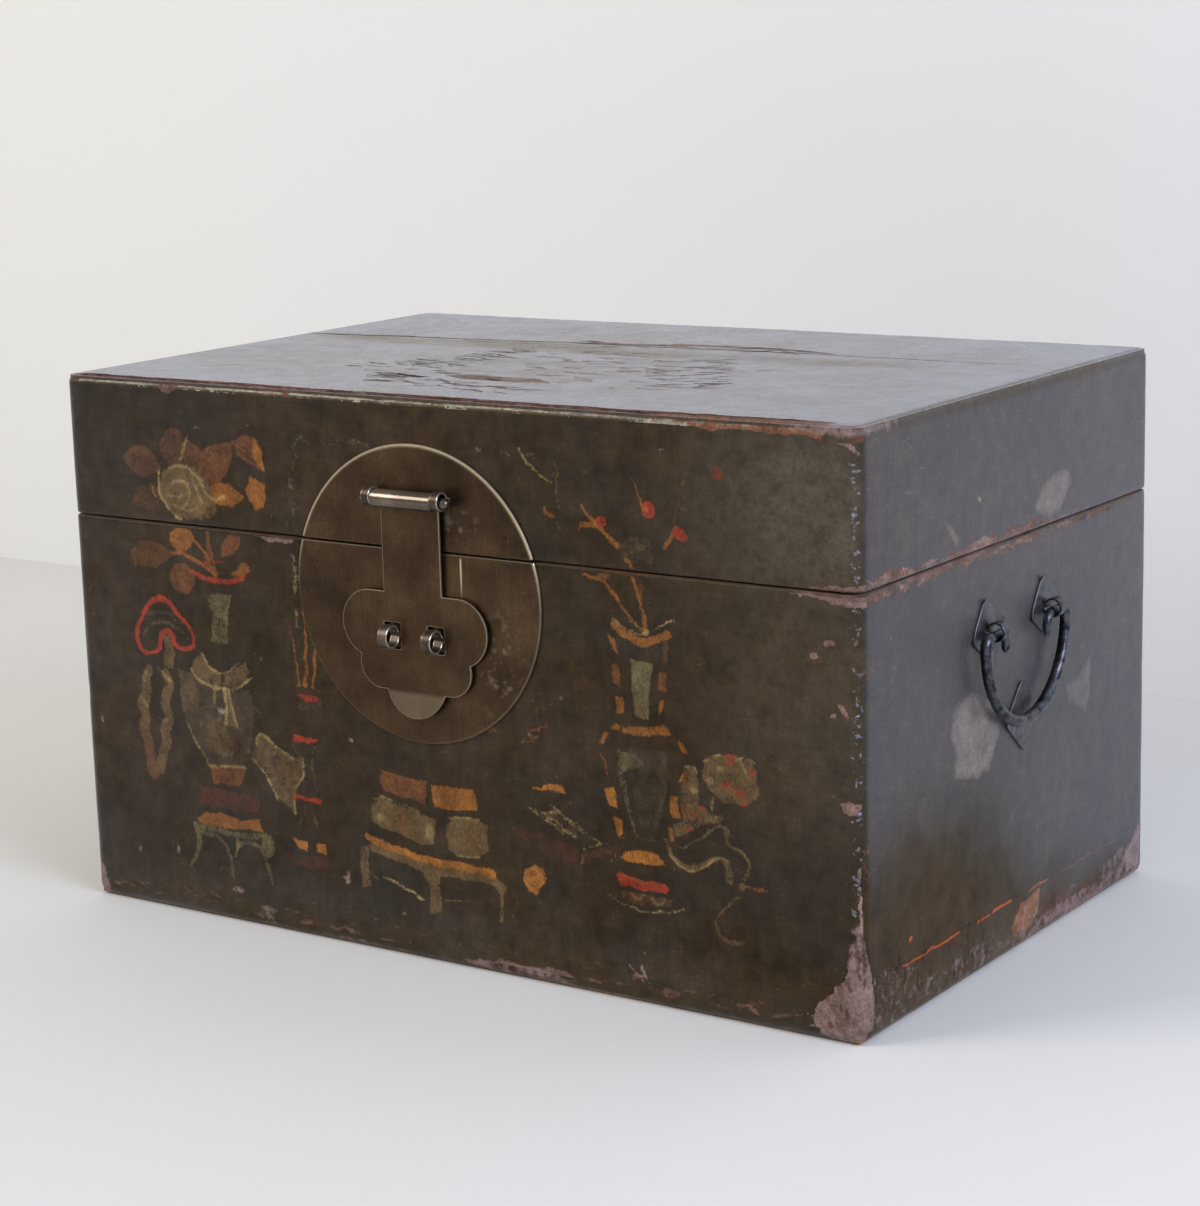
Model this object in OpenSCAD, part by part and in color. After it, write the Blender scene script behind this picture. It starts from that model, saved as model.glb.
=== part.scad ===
// Lacquered storage trunk with a two-part round lock plate, a swinging hasp and wire bail handles.
// +X is to the trunk's right, -Y is its front and +Z is up.
// The origin is the middle of the case's underside.

/* [Trunk] */
// Width over the lacquer, left to right
trunk_w = 560; // [440:2:680]
// Depth over the lacquer, front to back
trunk_d = 368; // [300:2:440]
// Height of the case, up to its rim
case_h = 246.8; // [220:0.2:300]
// Height of the lid
lid_h = 87.2; // [70:0.2:110]
// Gap between the case's rim and the lid
seam_gap = 1.4; // [0.6:0.2:2.4]
// Radius of the four upright corners
corner_r = 9; // [6:0.5:12]
// Radius of the worn edge round the underside
foot_r = 7.5; // [4:0.5:9]
// Radius of the edge round the top
brow_r = 6; // [3:0.5:9]

/* [Boards] */
// Thickness of the wall boards
wall_t = 12; // [9:0.5:16]
// Thickness of the bottom board
bottom_t = 10; // [7:0.5:14]
// Thickness of the two top boards
top_t = 10; // [7:0.5:14]
// Thickness of the lacquered cloth skin
skin_t = 1.2; // [0.8:0.1:2]
// Fingers and gaps at each corner of the case, an odd number
case_fingers = 5; // [3:2:9]
// Fingers and gaps at each corner of the lid, an odd number
lid_fingers = 3; // [3:2:5]
// Height of the joint between the two boards of each case end
end_joint_z = 33; // [24:1:50]
// Distance from the middle to the joint of the two top boards
top_joint_y = 61; // [-60:1:80]

/* [Rim] */
// Thickness of the strips that line the rim
rim_t = 5; // [4:0.5:7]
// Rise of the strips above the case's rim
rim_rise = 7; // [4:0.5:12]
// Depth of the strips below the case's rim
rim_grip = 22; // [14:1:26]
// Gap between the strips and the inside of the lid
rim_gap = 1; // [0.6:0.1:2]

/* [Lock] */
// Place of the lock, measured from the middle to the right
lock_x = -9; // [-20:1:20]
// Distance from the case's rim down to the lock plate's centre
lock_drop = 25.8; // [21:0.2:36]
// Radius of the lock plate
lock_r = 87.5; // [84:0.5:92]
// Thickness of the lock plate
plate_t = 1.3; // [0.8:0.1:1.8]
// Distance between the two padlock loops, centre to centre
loop_pitch = 31.4; // [28:0.2:36]
// Distance from the case's rim down to the padlock loops
loop_drop = 50.3; // [48:0.1:52.5]
// Inner radius of a padlock loop
loop_ri = 5.6; // [4.6:0.1:5.9]
// Width of a padlock loop's strap
loop_band = 6.5; // [5:0.5:9]
// Thickness of the straps that form the loops and eyes
strap_t = 1.3; // [0.9:0.1:1.5]

/* [Hasp] */
// Width of the hasp's strap
hasp_w = 41.6; // [36:0.4:44]
// Thickness of the hasp's sheet
hasp_t = 1.3; // [1:0.1:1.6]
// Gap behind the hasp
hasp_gap = 2.2; // [1.6:0.1:3]
// Height of the hasp's hinge pin above the lid's lower edge
hasp_rise = 29.2; // [26:0.2:34]
// Outer radius of the rolled barrel
barrel_r = 5.4; // [4.9:0.1:6]
// Radius of the hinge pin
hasp_pin_r = 3.3; // [2.8:0.1:3.5]
// Radius of the large lobes
lobe_r = 20; // [19:0.5:21]
// Distance from the hasp's middle line to the large lobes' centres
lobe_x = 32; // [31:0.5:33]
// Height of the large lobes' centres above the loops
lobe_rise = 5.7; // [5:0.1:6.5]
// Radius of the small lobes
side_lobe_r = 15; // [14:0.5:16]
// Distance from the hasp's middle line to the small lobes' centres
side_lobe_x = 25; // [24:0.5:26]
// Distance from the loops down to the small lobes' centres
side_lobe_drop = 17.3; // [16.5:0.1:18]
// Radius of the bottom lobe
tip_r = 21.7; // [21:0.1:23]
// Distance from the loops down to the bottom lobe's centre
tip_drop = 25.8; // [25:0.1:27]
// Angle at which the bottom lobe is lifted
tip_lift = 7; // [0:1:12]
// Width of the two holes
hole_w = 12; // [10:0.5:13]
// Height of the two holes
hole_h = 15.6; // [15.4:0.2:17]
// Width of the eyes that hold the pin
hasp_eye_band = 5.6; // [4:0.2:7]
// Inner radius of the eyes that hold the pin
hasp_eye_ri = 4.3; // [4:0.1:4.6]

/* [Hinges] */
// Distance between the two hinges, centre to centre
hinge_pitch = 340; // [240:5:380]
// Width of a hinge leaf
leaf_w = 64; // [50:1:80]
// Height of a hinge leaf
leaf_h = 40; // [30:1:50]
// Thickness of a hinge leaf
leaf_t = 1.3; // [1:0.1:1.5]
// Outer radius of a knuckle
knuckle_r = 3.3; // [3.1:0.1:4]
// Radius of a hinge pin
hinge_pin_r = 1.8; // [1.5:0.1:1.9]

/* [Handles] */
// Place of the handles, measured from the middle to the back
handle_y = -2; // [-20:1:20]
// Distance from the case's rim down to the handles' swing axis
handle_drop = 47.8; // [41:0.2:58]
// Distance between a handle's two eyes, centre to centre
eye_pitch = 73.5; // [66:0.5:80]
// Inner radius of a handle eye
eye_ri = 4.5; // [4.1:0.1:5.5]
// Width of a handle eye's strap
eye_band = 6.4; // [5:0.2:8]
// Radius of the bail's wire at its grip
grip_r = 3.4; // [3:0.1:4]
// Radius of the bail's wire at its ends
end_r = 2.6; // [2.2:0.1:3]
// Radius of the bail's grip, at the middle of its wire
bail_r = 51; // [49:0.5:54]
// Radius of the bend where the grip turns in towards the eyes
shoulder_r = 5.5; // [4.5:0.5:7]
// Length of the hooks at the bail's ends
hook_len = 6; // [3:0.5:9]
// Side of the square plates under the eyes
eye_plate = 28; // [24:0.5:32]
// Side of the square plate that the bail falls on
strike_plate = 30; // [24:0.5:34]
// Thickness of the handle plates
iron_t = 1; // [0.6:0.1:1.6]
// Place of the strike plate, measured back from the handle's middle
strike_y = 7; // [-10:1:10]
// Distance from the handles' swing axis down to the strike plate's centre
strike_drop = 57; // [49:1:62]

/* [Hidden] */
$fn = 64;
case_colour = "#34302a";
board_colour = "#8a6a4a";
brass_colour = "#574733";
iron_colour = "#3a3d44";

// Running gaps: on a hinge pin, round a strap in its slot, between neighbours along a pin,
// under a pin that rests, and behind a ring that stands on its plate
pin_gap = 0.06;
slot_gap = 0.2;
end_gap = 0.4;
rest_gap = 0.05;
seat_gap = 0.1;

lid_z = case_h + seam_gap;
total_h = lid_z + lid_h;
top_z = total_h - skin_t - top_t;
front_y = -trunk_d / 2;
back_y = trunk_d / 2;
shell_t = wall_t + skin_t;
inner_w = trunk_w - 2 * shell_t;
inner_d = trunk_d - 2 * shell_t;

// How far the skin stays above the ground
skin_lift = 1.5;

// Rim strips: the slope and the bevel along their upper edges
rim_slope = 1.5;
rim_bevel = 1;

// Lock: distances in front of the trunk's face
lock_z = case_h - lock_drop;
loop_z = case_h - loop_drop;
hasp_z = lid_z + hasp_rise;
loop_ro = loop_ri + strap_t;
loop_off = plate_t + loop_ro + seat_gap;
hasp_back = plate_t + hasp_gap;
hasp_off = hasp_back + barrel_r;
barrel_spare = 0.4;
barrel_len = hasp_w + 2 * barrel_spare;
hasp_eye_x = barrel_len / 2 + end_gap + hasp_eye_band / 2;
hasp_eye_rise = hasp_eye_ri - hasp_pin_r - rest_gap;
pin_overhang = 1.2;
hasp_pin_len = 2 * (hasp_eye_x + pin_overhang) + hasp_eye_band;
// Inside, the clinched legs lie flat on the board
leg_len = 15;
leg_t = 1.4;

// Hasp: the heights of the lobes' centres, and the fold below the small lobes
lobe_z = loop_z + lobe_rise;
side_lobe_z = loop_z - side_lobe_drop;
tip_z = loop_z - tip_drop;
fold_gap = 0.5;
tip_bend_z = side_lobe_z - side_lobe_r - fold_gap;
tip_end_z = tip_z - tip_r - 1;
tip_lean = (tip_bend_z - tip_end_z) * tan(tip_lift);

// Hinges: the axis lies just behind the back, at the middle of the seam
back_gap = 0.2;
hinge_off = knuckle_r + back_gap;
hinge_z = case_h + seam_gap / 2;
knuckle_len = leaf_w / 3;
web_spare = 0.6;
leaf_clear = knuckle_r + web_spare;
leaf_corner = 8;
pin_head_lip = 0.8;
pin_head_t = 1.1;

// Handles
handle_z = case_h - handle_drop;
strike_z = handle_z - strike_drop;
eye_ro = eye_ri + strap_t;
eye_off = iron_t + eye_ro + seat_gap;
eye_rise = eye_ri - end_r - rest_gap;
eye_spare = 0.8;
eye_run = eye_band / 2 + eye_spare;
hook_r = 6;
eye_plate_turn = 57;
strike_plate_turn = 49;

// A rectangle standing on its base, with one radius below and another above
module round_rect(w, h, r_low, r_high) {
    translate([-w / 2, r_low]) square([w, h - r_low - r_high]);
    translate([-w / 2 + r_low, 0]) square([w - 2 * r_low, h / 2]);
    translate([-w / 2 + r_high, h / 2]) square([w - 2 * r_high, h / 2]);
    for (side = [-1, 1]) {
        if (r_low > 0) translate([side * (w / 2 - r_low), r_low]) circle(r_low);
        if (r_high > 0) translate([side * (w / 2 - r_high), h - r_high]) circle(r_high);
    }
}

// A block from z0 to z1 whose plan and both elevations have round corners
module round_block(w, d, z0, z1, r_plan, r_low, r_high) {
    intersection() {
        translate([0, -d / 2, z0]) linear_extrude(z1 - z0) round_rect(w, d, r_plan, r_plan);
        translate([0, d / 2 + 1, z0]) rotate([90, 0, 0]) linear_extrude(d + 2)
            round_rect(w, z1 - z0, r_low, r_high);
        translate([-w / 2 - 1, 0, z0]) rotate([90, 0, 90]) linear_extrude(w + 2)
            round_rect(d, z1 - z0, r_low, r_high);
    }
}

module case_outside() {
    round_block(trunk_w, trunk_d, 0, case_h, corner_r, foot_r, 0);
}

module case_core() {
    round_block(trunk_w - 2 * skin_t, trunk_d - 2 * skin_t, 0, case_h,
        corner_r - skin_t, foot_r - skin_t, 0);
}

module lid_outside() {
    round_block(trunk_w, trunk_d, lid_z, total_h, corner_r, 0, brow_r);
}

module lid_core() {
    round_block(trunk_w - 2 * skin_t, trunk_d - 2 * skin_t, lid_z, total_h - skin_t,
        corner_r - skin_t, 0, brow_r - skin_t);
}

// The four corner cells of every second finger, from the one named first
module corner_cells(z0, z1, count, first) {
    step = (z1 - z0) / count;
    cell = shell_t + 1;
    for (i = [first : 2 : count - 1], sx = [-1, 1], sy = [-1, 1])
        translate([sx * (inner_w + cell) / 2, sy * (inner_d + cell) / 2, z0 + (i + 0.5) * step])
            cube([cell, cell, step], center = true);
}

// A slab of the trunk's front or back wall, wider than the trunk
module long_wall(side, z0, z1) {
    slab = shell_t + 1;
    translate([0, side * (inner_d + slab) / 2, (z0 + z1) / 2])
        cube([trunk_w + 2, slab, z1 - z0], center = true);
}

// A slab of the trunk's left or right end, deeper than the trunk
module end_wall(side, z0, z1) {
    slab = shell_t + 1;
    translate([side * (inner_w + slab) / 2, 0, (z0 + z1) / 2])
        cube([slab, trunk_d + 2, z1 - z0], center = true);
}

// A split pin of flat strap: a ring on the X axis whose legs run to +Y and are clinched at reach
module strap_pin(band, ri, reach) {
    difference() {
        union() {
            rotate([0, 90, 0]) cylinder(h = band, r = ri + strap_t, center = true);
            translate([-band / 2, ri + strap_t / 4, -strap_t])
                cube([band, reach + leg_t - ri - strap_t / 4, 2 * strap_t]);
            translate([-band / 2, reach, -leg_len]) cube([band, leg_t, 2 * leg_len]);
        }
        rotate([0, 90, 0]) cylinder(h = band + 2, r = ri, center = true);
    }
}

// The slot that a split pin's legs pass through, centred on the ring
module strap_slot(band, reach) {
    translate([-band / 2 - slot_gap, 0, -strap_t - slot_gap])
        cube([band + 2 * slot_gap, reach + 1, 2 * (strap_t + slot_gap)]);
}

// Places of the split pins
module at_loop(side) {
    translate([lock_x + side * loop_pitch / 2, front_y - loop_off, loop_z]) children();
}

module at_hasp_eye(side) {
    translate([lock_x + side * hasp_eye_x, front_y - hasp_off, hasp_z + hasp_eye_rise]) children();
}

module at_handle_eye(side, end) {
    translate([side * (trunk_w / 2 + eye_off), handle_y + end * eye_pitch / 2, handle_z + eye_rise])
        rotate([0, 0, side * 90]) children();
}

module loop_slots() {
    for (side = [-1, 1]) at_loop(side) strap_slot(loop_band, loop_off + shell_t);
}

module hasp_eye_slots() {
    for (side = [-1, 1]) at_hasp_eye(side) strap_slot(hasp_eye_band, hasp_off + shell_t);
}

module handle_eye_slots(side) {
    for (end = [-1, 1]) at_handle_eye(side, end) strap_slot(eye_band, eye_off + shell_t);
}

// Case boards
module case_long_board(side) {
    color(board_colour) difference() {
        intersection() {
            case_core();
            long_wall(side, bottom_t, case_h);
        }
        corner_cells(bottom_t, case_h, case_fingers, 1);
        loop_slots();
    }
}

module case_end_board(side, z0, z1) {
    color(board_colour) difference() {
        intersection() {
            case_core();
            end_wall(side, z0, z1);
        }
        corner_cells(bottom_t, case_h, case_fingers, 0);
        handle_eye_slots(side);
    }
}

module case_bottom() {
    color(board_colour) intersection() {
        case_core();
        translate([0, 0, bottom_t / 2]) cube([trunk_w, trunk_d, bottom_t], center = true);
    }
}

// Lid boards
module lid_long_board(side) {
    color(board_colour) difference() {
        intersection() {
            lid_core();
            long_wall(side, lid_z, top_z);
        }
        corner_cells(lid_z, top_z, lid_fingers, 1);
        hasp_eye_slots();
    }
}

module lid_end_board(side) {
    color(board_colour) difference() {
        intersection() {
            lid_core();
            end_wall(side, lid_z, top_z);
        }
        corner_cells(lid_z, top_z, lid_fingers, 0);
    }
}

module lid_top_board(y0, y1) {
    color(board_colour) intersection() {
        lid_core();
        translate([-trunk_w / 2, y0, top_z]) cube([trunk_w, y1 - y0, top_t + 1]);
    }
}

// A mitred strip along X that stands on the rim: its outer face is at y = 0 and the rim at z = 0
module rim_strip(len) {
    intersection() {
        translate([-len / 2, 0, 0]) rotate([90, 0, 90]) linear_extrude(len) polygon([
            [0, -rim_grip], [0, 0], [rim_gap, 0], [rim_gap, rim_rise - rim_slope],
            [rim_gap + rim_bevel, rim_rise], [rim_t - rim_bevel, rim_rise],
            [rim_t, rim_rise - rim_bevel], [rim_t, -rim_grip]
        ]);
        translate([0, 0, -rim_grip]) linear_extrude(rim_grip + rim_rise) polygon([
            [-len / 2, 0], [len / 2, 0], [len / 2 - rim_t, rim_t], [-len / 2 + rim_t, rim_t]
        ]);
    }
}

module rim_long(side) {
    color(board_colour) translate([0, side * inner_d / 2, case_h])
        rotate([0, 0, side > 0 ? 180 : 0]) rim_strip(inner_w);
}

module rim_end(side) {
    color(board_colour) translate([side * inner_w / 2, 0, case_h])
        rotate([0, 0, side * 90]) rim_strip(inner_d);
}

// Lacquered skins
module case_skin() {
    color(case_colour) difference() {
        intersection() {
            case_outside();
            translate([0, 0, (skin_lift + case_h) / 2])
                cube([trunk_w + 2, trunk_d + 2, case_h - skin_lift], center = true);
        }
        case_core();
        loop_slots();
        handle_eye_slots(-1);
        handle_eye_slots(1);
    }
}

module lid_skin() {
    color(case_colour) difference() {
        lid_outside();
        lid_core();
        hasp_eye_slots();
    }
}

// Lock plate: one round sheet, parted by the seam
module lock_plate(z0, z1) {
    color(brass_colour) difference() {
        intersection() {
            translate([lock_x, front_y, lock_z]) rotate([90, 0, 0]) cylinder(h = plate_t, r = lock_r);
            translate([lock_x - lock_r - 1, front_y - plate_t - 1, z0])
                cube([2 * lock_r + 2, plate_t + 2, z1 - z0]);
        }
        loop_slots();
        hasp_eye_slots();
    }
}

module padlock_loop(side) {
    color(brass_colour) at_loop(side) strap_pin(loop_band, loop_ri, loop_off + shell_t);
}

module hasp_eye(side) {
    color(brass_colour) at_hasp_eye(side) strap_pin(hasp_eye_band, hasp_eye_ri, hasp_off + shell_t);
}

module hasp_pin() {
    color(brass_colour) translate([lock_x, front_y - hasp_off, hasp_z]) {
        rotate([0, 90, 0]) cylinder(h = hasp_pin_len, r = hasp_pin_r, center = true);
        for (side = [-1, 1]) translate([side * hasp_pin_len / 2, 0, 0]) sphere(hasp_pin_r);
    }
}

// Cloud-shaped outline of the hasp, with its two holes
module hasp_outline() {
    difference() {
        union() {
            translate([-hasp_w / 2, lobe_z]) square([hasp_w, hasp_z - lobe_z]);
            translate([-lobe_x, lobe_z - lobe_r]) square([2 * lobe_x, 2 * lobe_r]);
            translate([-side_lobe_x, side_lobe_z - side_lobe_r]) square([2 * side_lobe_x, side_lobe_r]);
            for (side = [-1, 1]) {
                translate([side * lobe_x, lobe_z]) circle(lobe_r);
                translate([side * side_lobe_x, side_lobe_z]) circle(side_lobe_r);
            }
            translate([0, tip_z]) circle(tip_r);
        }
        for (side = [-1, 1])
            translate([side * loop_pitch / 2, loop_z]) square([hole_w, hole_h], center = true);
    }
}

// The hasp's sheet from the side, in front of y = 0: it folds forward above its bottom lobe
module hasp_side() {
    polygon([
        [0, hasp_z], [0, tip_bend_z], [-tip_lean, tip_end_z],
        [-tip_lean - hasp_t / cos(tip_lift), tip_end_z],
        [-hasp_t, tip_bend_z + hasp_t * tan(tip_lift / 2)], [-hasp_t, hasp_z]
    ]);
}

module hasp_sheet() {
    width = 2 * (lobe_x + lobe_r) + 2;
    depth = tip_lean + 2 * hasp_t + 2;
    intersection() {
        translate([0, 1, 0]) rotate([90, 0, 0]) linear_extrude(depth) hasp_outline();
        translate([-width / 2, 0, 0]) rotate([90, 0, 90]) linear_extrude(width) hasp_side();
    }
}

module hasp() {
    color(brass_colour) translate([lock_x, front_y, 0]) difference() {
        union() {
            translate([0, -hasp_back, 0]) hasp_sheet();
            translate([0, -hasp_off, hasp_z]) rotate([0, 90, 0])
                cylinder(h = barrel_len, r = barrel_r, center = true);
        }
        translate([0, -hasp_off, hasp_z]) rotate([0, 90, 0])
            cylinder(h = barrel_len + 2, r = hasp_pin_r + pin_gap, center = true);
    }
}

// One knuckle with the web that joins it to its leaf: up is 1 for the lid's, -1 for the case's
module knuckle(x0, x1, up) {
    translate([x0, hinge_off, hinge_z]) rotate([0, 90, 0]) cylinder(h = x1 - x0, r = knuckle_r);
    translate([x0, 0, up > 0 ? hinge_z : hinge_z - leaf_clear]) cube([x1 - x0, leaf_t, leaf_clear]);
}

module hinge_bore() {
    translate([0, hinge_off, hinge_z]) rotate([0, 90, 0])
        cylinder(h = leaf_w + 2, r = hinge_pin_r + pin_gap, center = true);
}

module case_leaf(side) {
    color(brass_colour) translate([side * hinge_pitch / 2, back_y, 0]) difference() {
        union() {
            translate([0, leaf_t, hinge_z - leaf_clear - leaf_h]) rotate([90, 0, 0])
                linear_extrude(leaf_t) round_rect(leaf_w, leaf_h, leaf_corner, 0);
            knuckle(-leaf_w / 2, -knuckle_len / 2 - end_gap, -1);
            knuckle(knuckle_len / 2 + end_gap, leaf_w / 2, -1);
        }
        hinge_bore();
    }
}

module lid_leaf(side) {
    color(brass_colour) translate([side * hinge_pitch / 2, back_y, 0]) difference() {
        union() {
            translate([0, leaf_t, hinge_z + leaf_clear]) rotate([90, 0, 0])
                linear_extrude(leaf_t) round_rect(leaf_w, leaf_h, 0, leaf_corner);
            knuckle(-knuckle_len / 2, knuckle_len / 2, 1);
        }
        hinge_bore();
    }
}

module hinge_pin(side) {
    head_x = leaf_w / 2 + pin_gap + pin_head_t / 2;
    color(brass_colour) translate([side * hinge_pitch / 2, back_y + hinge_off, hinge_z]) {
        rotate([0, 90, 0]) cylinder(h = 2 * head_x, r = hinge_pin_r, center = true);
        for (end = [-1, 1]) translate([end * head_x, 0, 0]) rotate([0, 90, 0])
            cylinder(h = pin_head_t, r = hinge_pin_r + pin_head_lip, center = true);
    }
}

// A thin square plate on an end of the case, turned onto its corner
module iron_plate(side, y, z, size, turn) {
    translate([side * (trunk_w + iron_t) / 2, y, z]) rotate([turn, 0, 0])
        cube([iron_t, size, size], center = true);
}

module handle_eye_plate(side, end) {
    color(iron_colour) difference() {
        iron_plate(side, handle_y + end * eye_pitch / 2, handle_z + eye_rise, eye_plate, eye_plate_turn);
        handle_eye_slots(side);
    }
}

module handle_strike_plate(side) {
    color(iron_colour)
        iron_plate(side, handle_y + strike_y, strike_z, strike_plate, strike_plate_turn);
}

module handle_eye(side, end) {
    color(iron_colour) at_handle_eye(side, end) strap_pin(eye_band, eye_ri, eye_off + shell_t);
}

// An arc of round wire about the Z axis
module wire_arc(bend_r, wire_r, a0, a1) {
    rotate([0, 0, a0]) rotate_extrude(angle = a1 - a0) translate([bend_r, 0]) circle(wire_r);
}

// One end of a bail in its own plane: x runs along the swing axis and -y hangs down
module bail_end() {
    eye_x = eye_pitch / 2;
    hook_x = eye_x - eye_run;
    taper_x = eye_x + eye_run;
    bend_x = bail_r - shoulder_r;
    translate([eye_x, 0, 0]) rotate([0, 90, 0]) cylinder(h = 2 * eye_run, r = end_r, center = true);
    translate([taper_x, 0, 0]) rotate([0, 90, 0]) cylinder(h = bend_x - taper_x, r1 = end_r, r2 = grip_r);
    translate([bend_x, -shoulder_r, 0]) wire_arc(shoulder_r, grip_r, 0, 90);
    translate([hook_x, -hook_r, 0]) wire_arc(hook_r, end_r, 90, 180);
    translate([hook_x - hook_r, -hook_r, 0]) rotate([90, 0, 0]) cylinder(h = hook_len, r = end_r);
    translate([hook_x - hook_r, -hook_r - hook_len, 0]) sphere(end_r);
}

module bail(side) {
    color(iron_colour) translate([side * (trunk_w / 2 + eye_off), handle_y, handle_z]) rotate([90, 0, 90]) {
        bail_end();
        mirror([1, 0, 0]) bail_end();
        translate([0, -shoulder_r, 0]) wire_arc(bail_r, grip_r, -180, 0);
    }
}

case_long_board(-1);  // case_front
case_long_board(1);  // case_back
case_end_board(-1, end_joint_z, case_h);  // case_left
case_end_board(-1, bottom_t, end_joint_z);  // case_left_strip
case_end_board(1, end_joint_z, case_h);  // case_right
case_end_board(1, bottom_t, end_joint_z);  // case_right_strip
case_bottom();
rim_long(-1);  // rim_front
rim_long(1);  // rim_back
rim_end(-1);  // rim_left
rim_end(1);  // rim_right
case_skin();
lock_plate(lock_z - lock_r - 1, case_h);  // lock_plate_lower
padlock_loop(-1);  // padlock_loop_left
padlock_loop(1);  // padlock_loop_right
case_leaf(-1);  // hinge_leaf_case_left
case_leaf(1);  // hinge_leaf_case_right
hinge_pin(-1);  // hinge_pin_left
hinge_pin(1);  // hinge_pin_right
handle_eye_plate(-1, -1);  // eye_plate_left_front
handle_eye_plate(-1, 1);  // eye_plate_left_back
handle_strike_plate(-1);  // strike_plate_left
handle_eye(-1, -1);  // eye_left_front
handle_eye(-1, 1);  // eye_left_back
handle_eye_plate(1, -1);  // eye_plate_right_front
handle_eye_plate(1, 1);  // eye_plate_right_back
handle_strike_plate(1);  // strike_plate_right
handle_eye(1, -1);  // eye_right_front
handle_eye(1, 1);  // eye_right_back
lid_long_board(-1);  // lid_front
lid_long_board(1);  // lid_back
lid_end_board(-1);  // lid_left
lid_end_board(1);  // lid_right
lid_top_board(front_y, top_joint_y);  // lid_top_front
lid_top_board(top_joint_y, back_y);  // lid_top_back
lid_skin();
lock_plate(lid_z, lock_z + lock_r + 1);  // lock_plate_upper
hasp_eye(-1);  // hasp_eye_left
hasp_eye(1);  // hasp_eye_right
hasp_pin();
lid_leaf(-1);  // hinge_leaf_lid_left
lid_leaf(1);  // hinge_leaf_lid_right
hasp();
bail(-1);  // bail_left
bail(1);  // bail_right
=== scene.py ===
import math
import bpy
import numpy as np
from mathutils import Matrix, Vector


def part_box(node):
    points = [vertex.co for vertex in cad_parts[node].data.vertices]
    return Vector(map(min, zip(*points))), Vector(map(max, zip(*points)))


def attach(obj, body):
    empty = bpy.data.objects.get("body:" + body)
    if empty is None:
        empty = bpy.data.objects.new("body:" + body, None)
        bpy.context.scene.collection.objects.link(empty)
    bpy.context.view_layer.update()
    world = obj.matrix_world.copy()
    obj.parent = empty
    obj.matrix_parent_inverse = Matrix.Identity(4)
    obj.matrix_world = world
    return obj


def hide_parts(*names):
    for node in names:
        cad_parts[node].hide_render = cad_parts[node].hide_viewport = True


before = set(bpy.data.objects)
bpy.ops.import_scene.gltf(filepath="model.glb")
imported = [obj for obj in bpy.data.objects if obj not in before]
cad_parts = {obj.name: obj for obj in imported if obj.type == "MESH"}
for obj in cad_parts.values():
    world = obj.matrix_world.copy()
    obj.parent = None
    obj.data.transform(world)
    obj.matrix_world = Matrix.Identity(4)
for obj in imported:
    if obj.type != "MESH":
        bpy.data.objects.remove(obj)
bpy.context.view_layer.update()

mm = 0.001

# Lengths are in mm up to the mesh itself. x runs to the trunk's right, -y is its front and z is up.
caseLow, caseHigh = (np.array(corner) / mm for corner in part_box("case_skin"))
lidLow, lidHigh = (np.array(corner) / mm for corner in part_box("lid_skin"))
trunk = {
    "halfX": caseHigh[0], "halfY": caseHigh[1],
    "cornerRadius": 9.0, "footRadius": 7.5, "browRadius": 6.0, "lipRadius": 0.9, "skin": 1.2,
    "caseLow": caseLow[2], "caseHigh": caseHigh[2], "lidLow": lidLow[2], "lidHigh": lidHigh[2],
    "cell": 3.1, "cornerCells": 4,
}
frontY = -trunk["halfY"]


def linear(code, alpha=1.0):
    # sRGB hex to linear light: below 0.04045 a twelfth and a bit, above it a power of 2.4
    parts = [int(code[k:k + 2], 16) / 255 for k in (1, 3, 5)]
    return [c / 12.92 if c <= 0.04045 else ((c + 0.055) / 1.055) ** 2.4 for c in parts] + [alpha]


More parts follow.
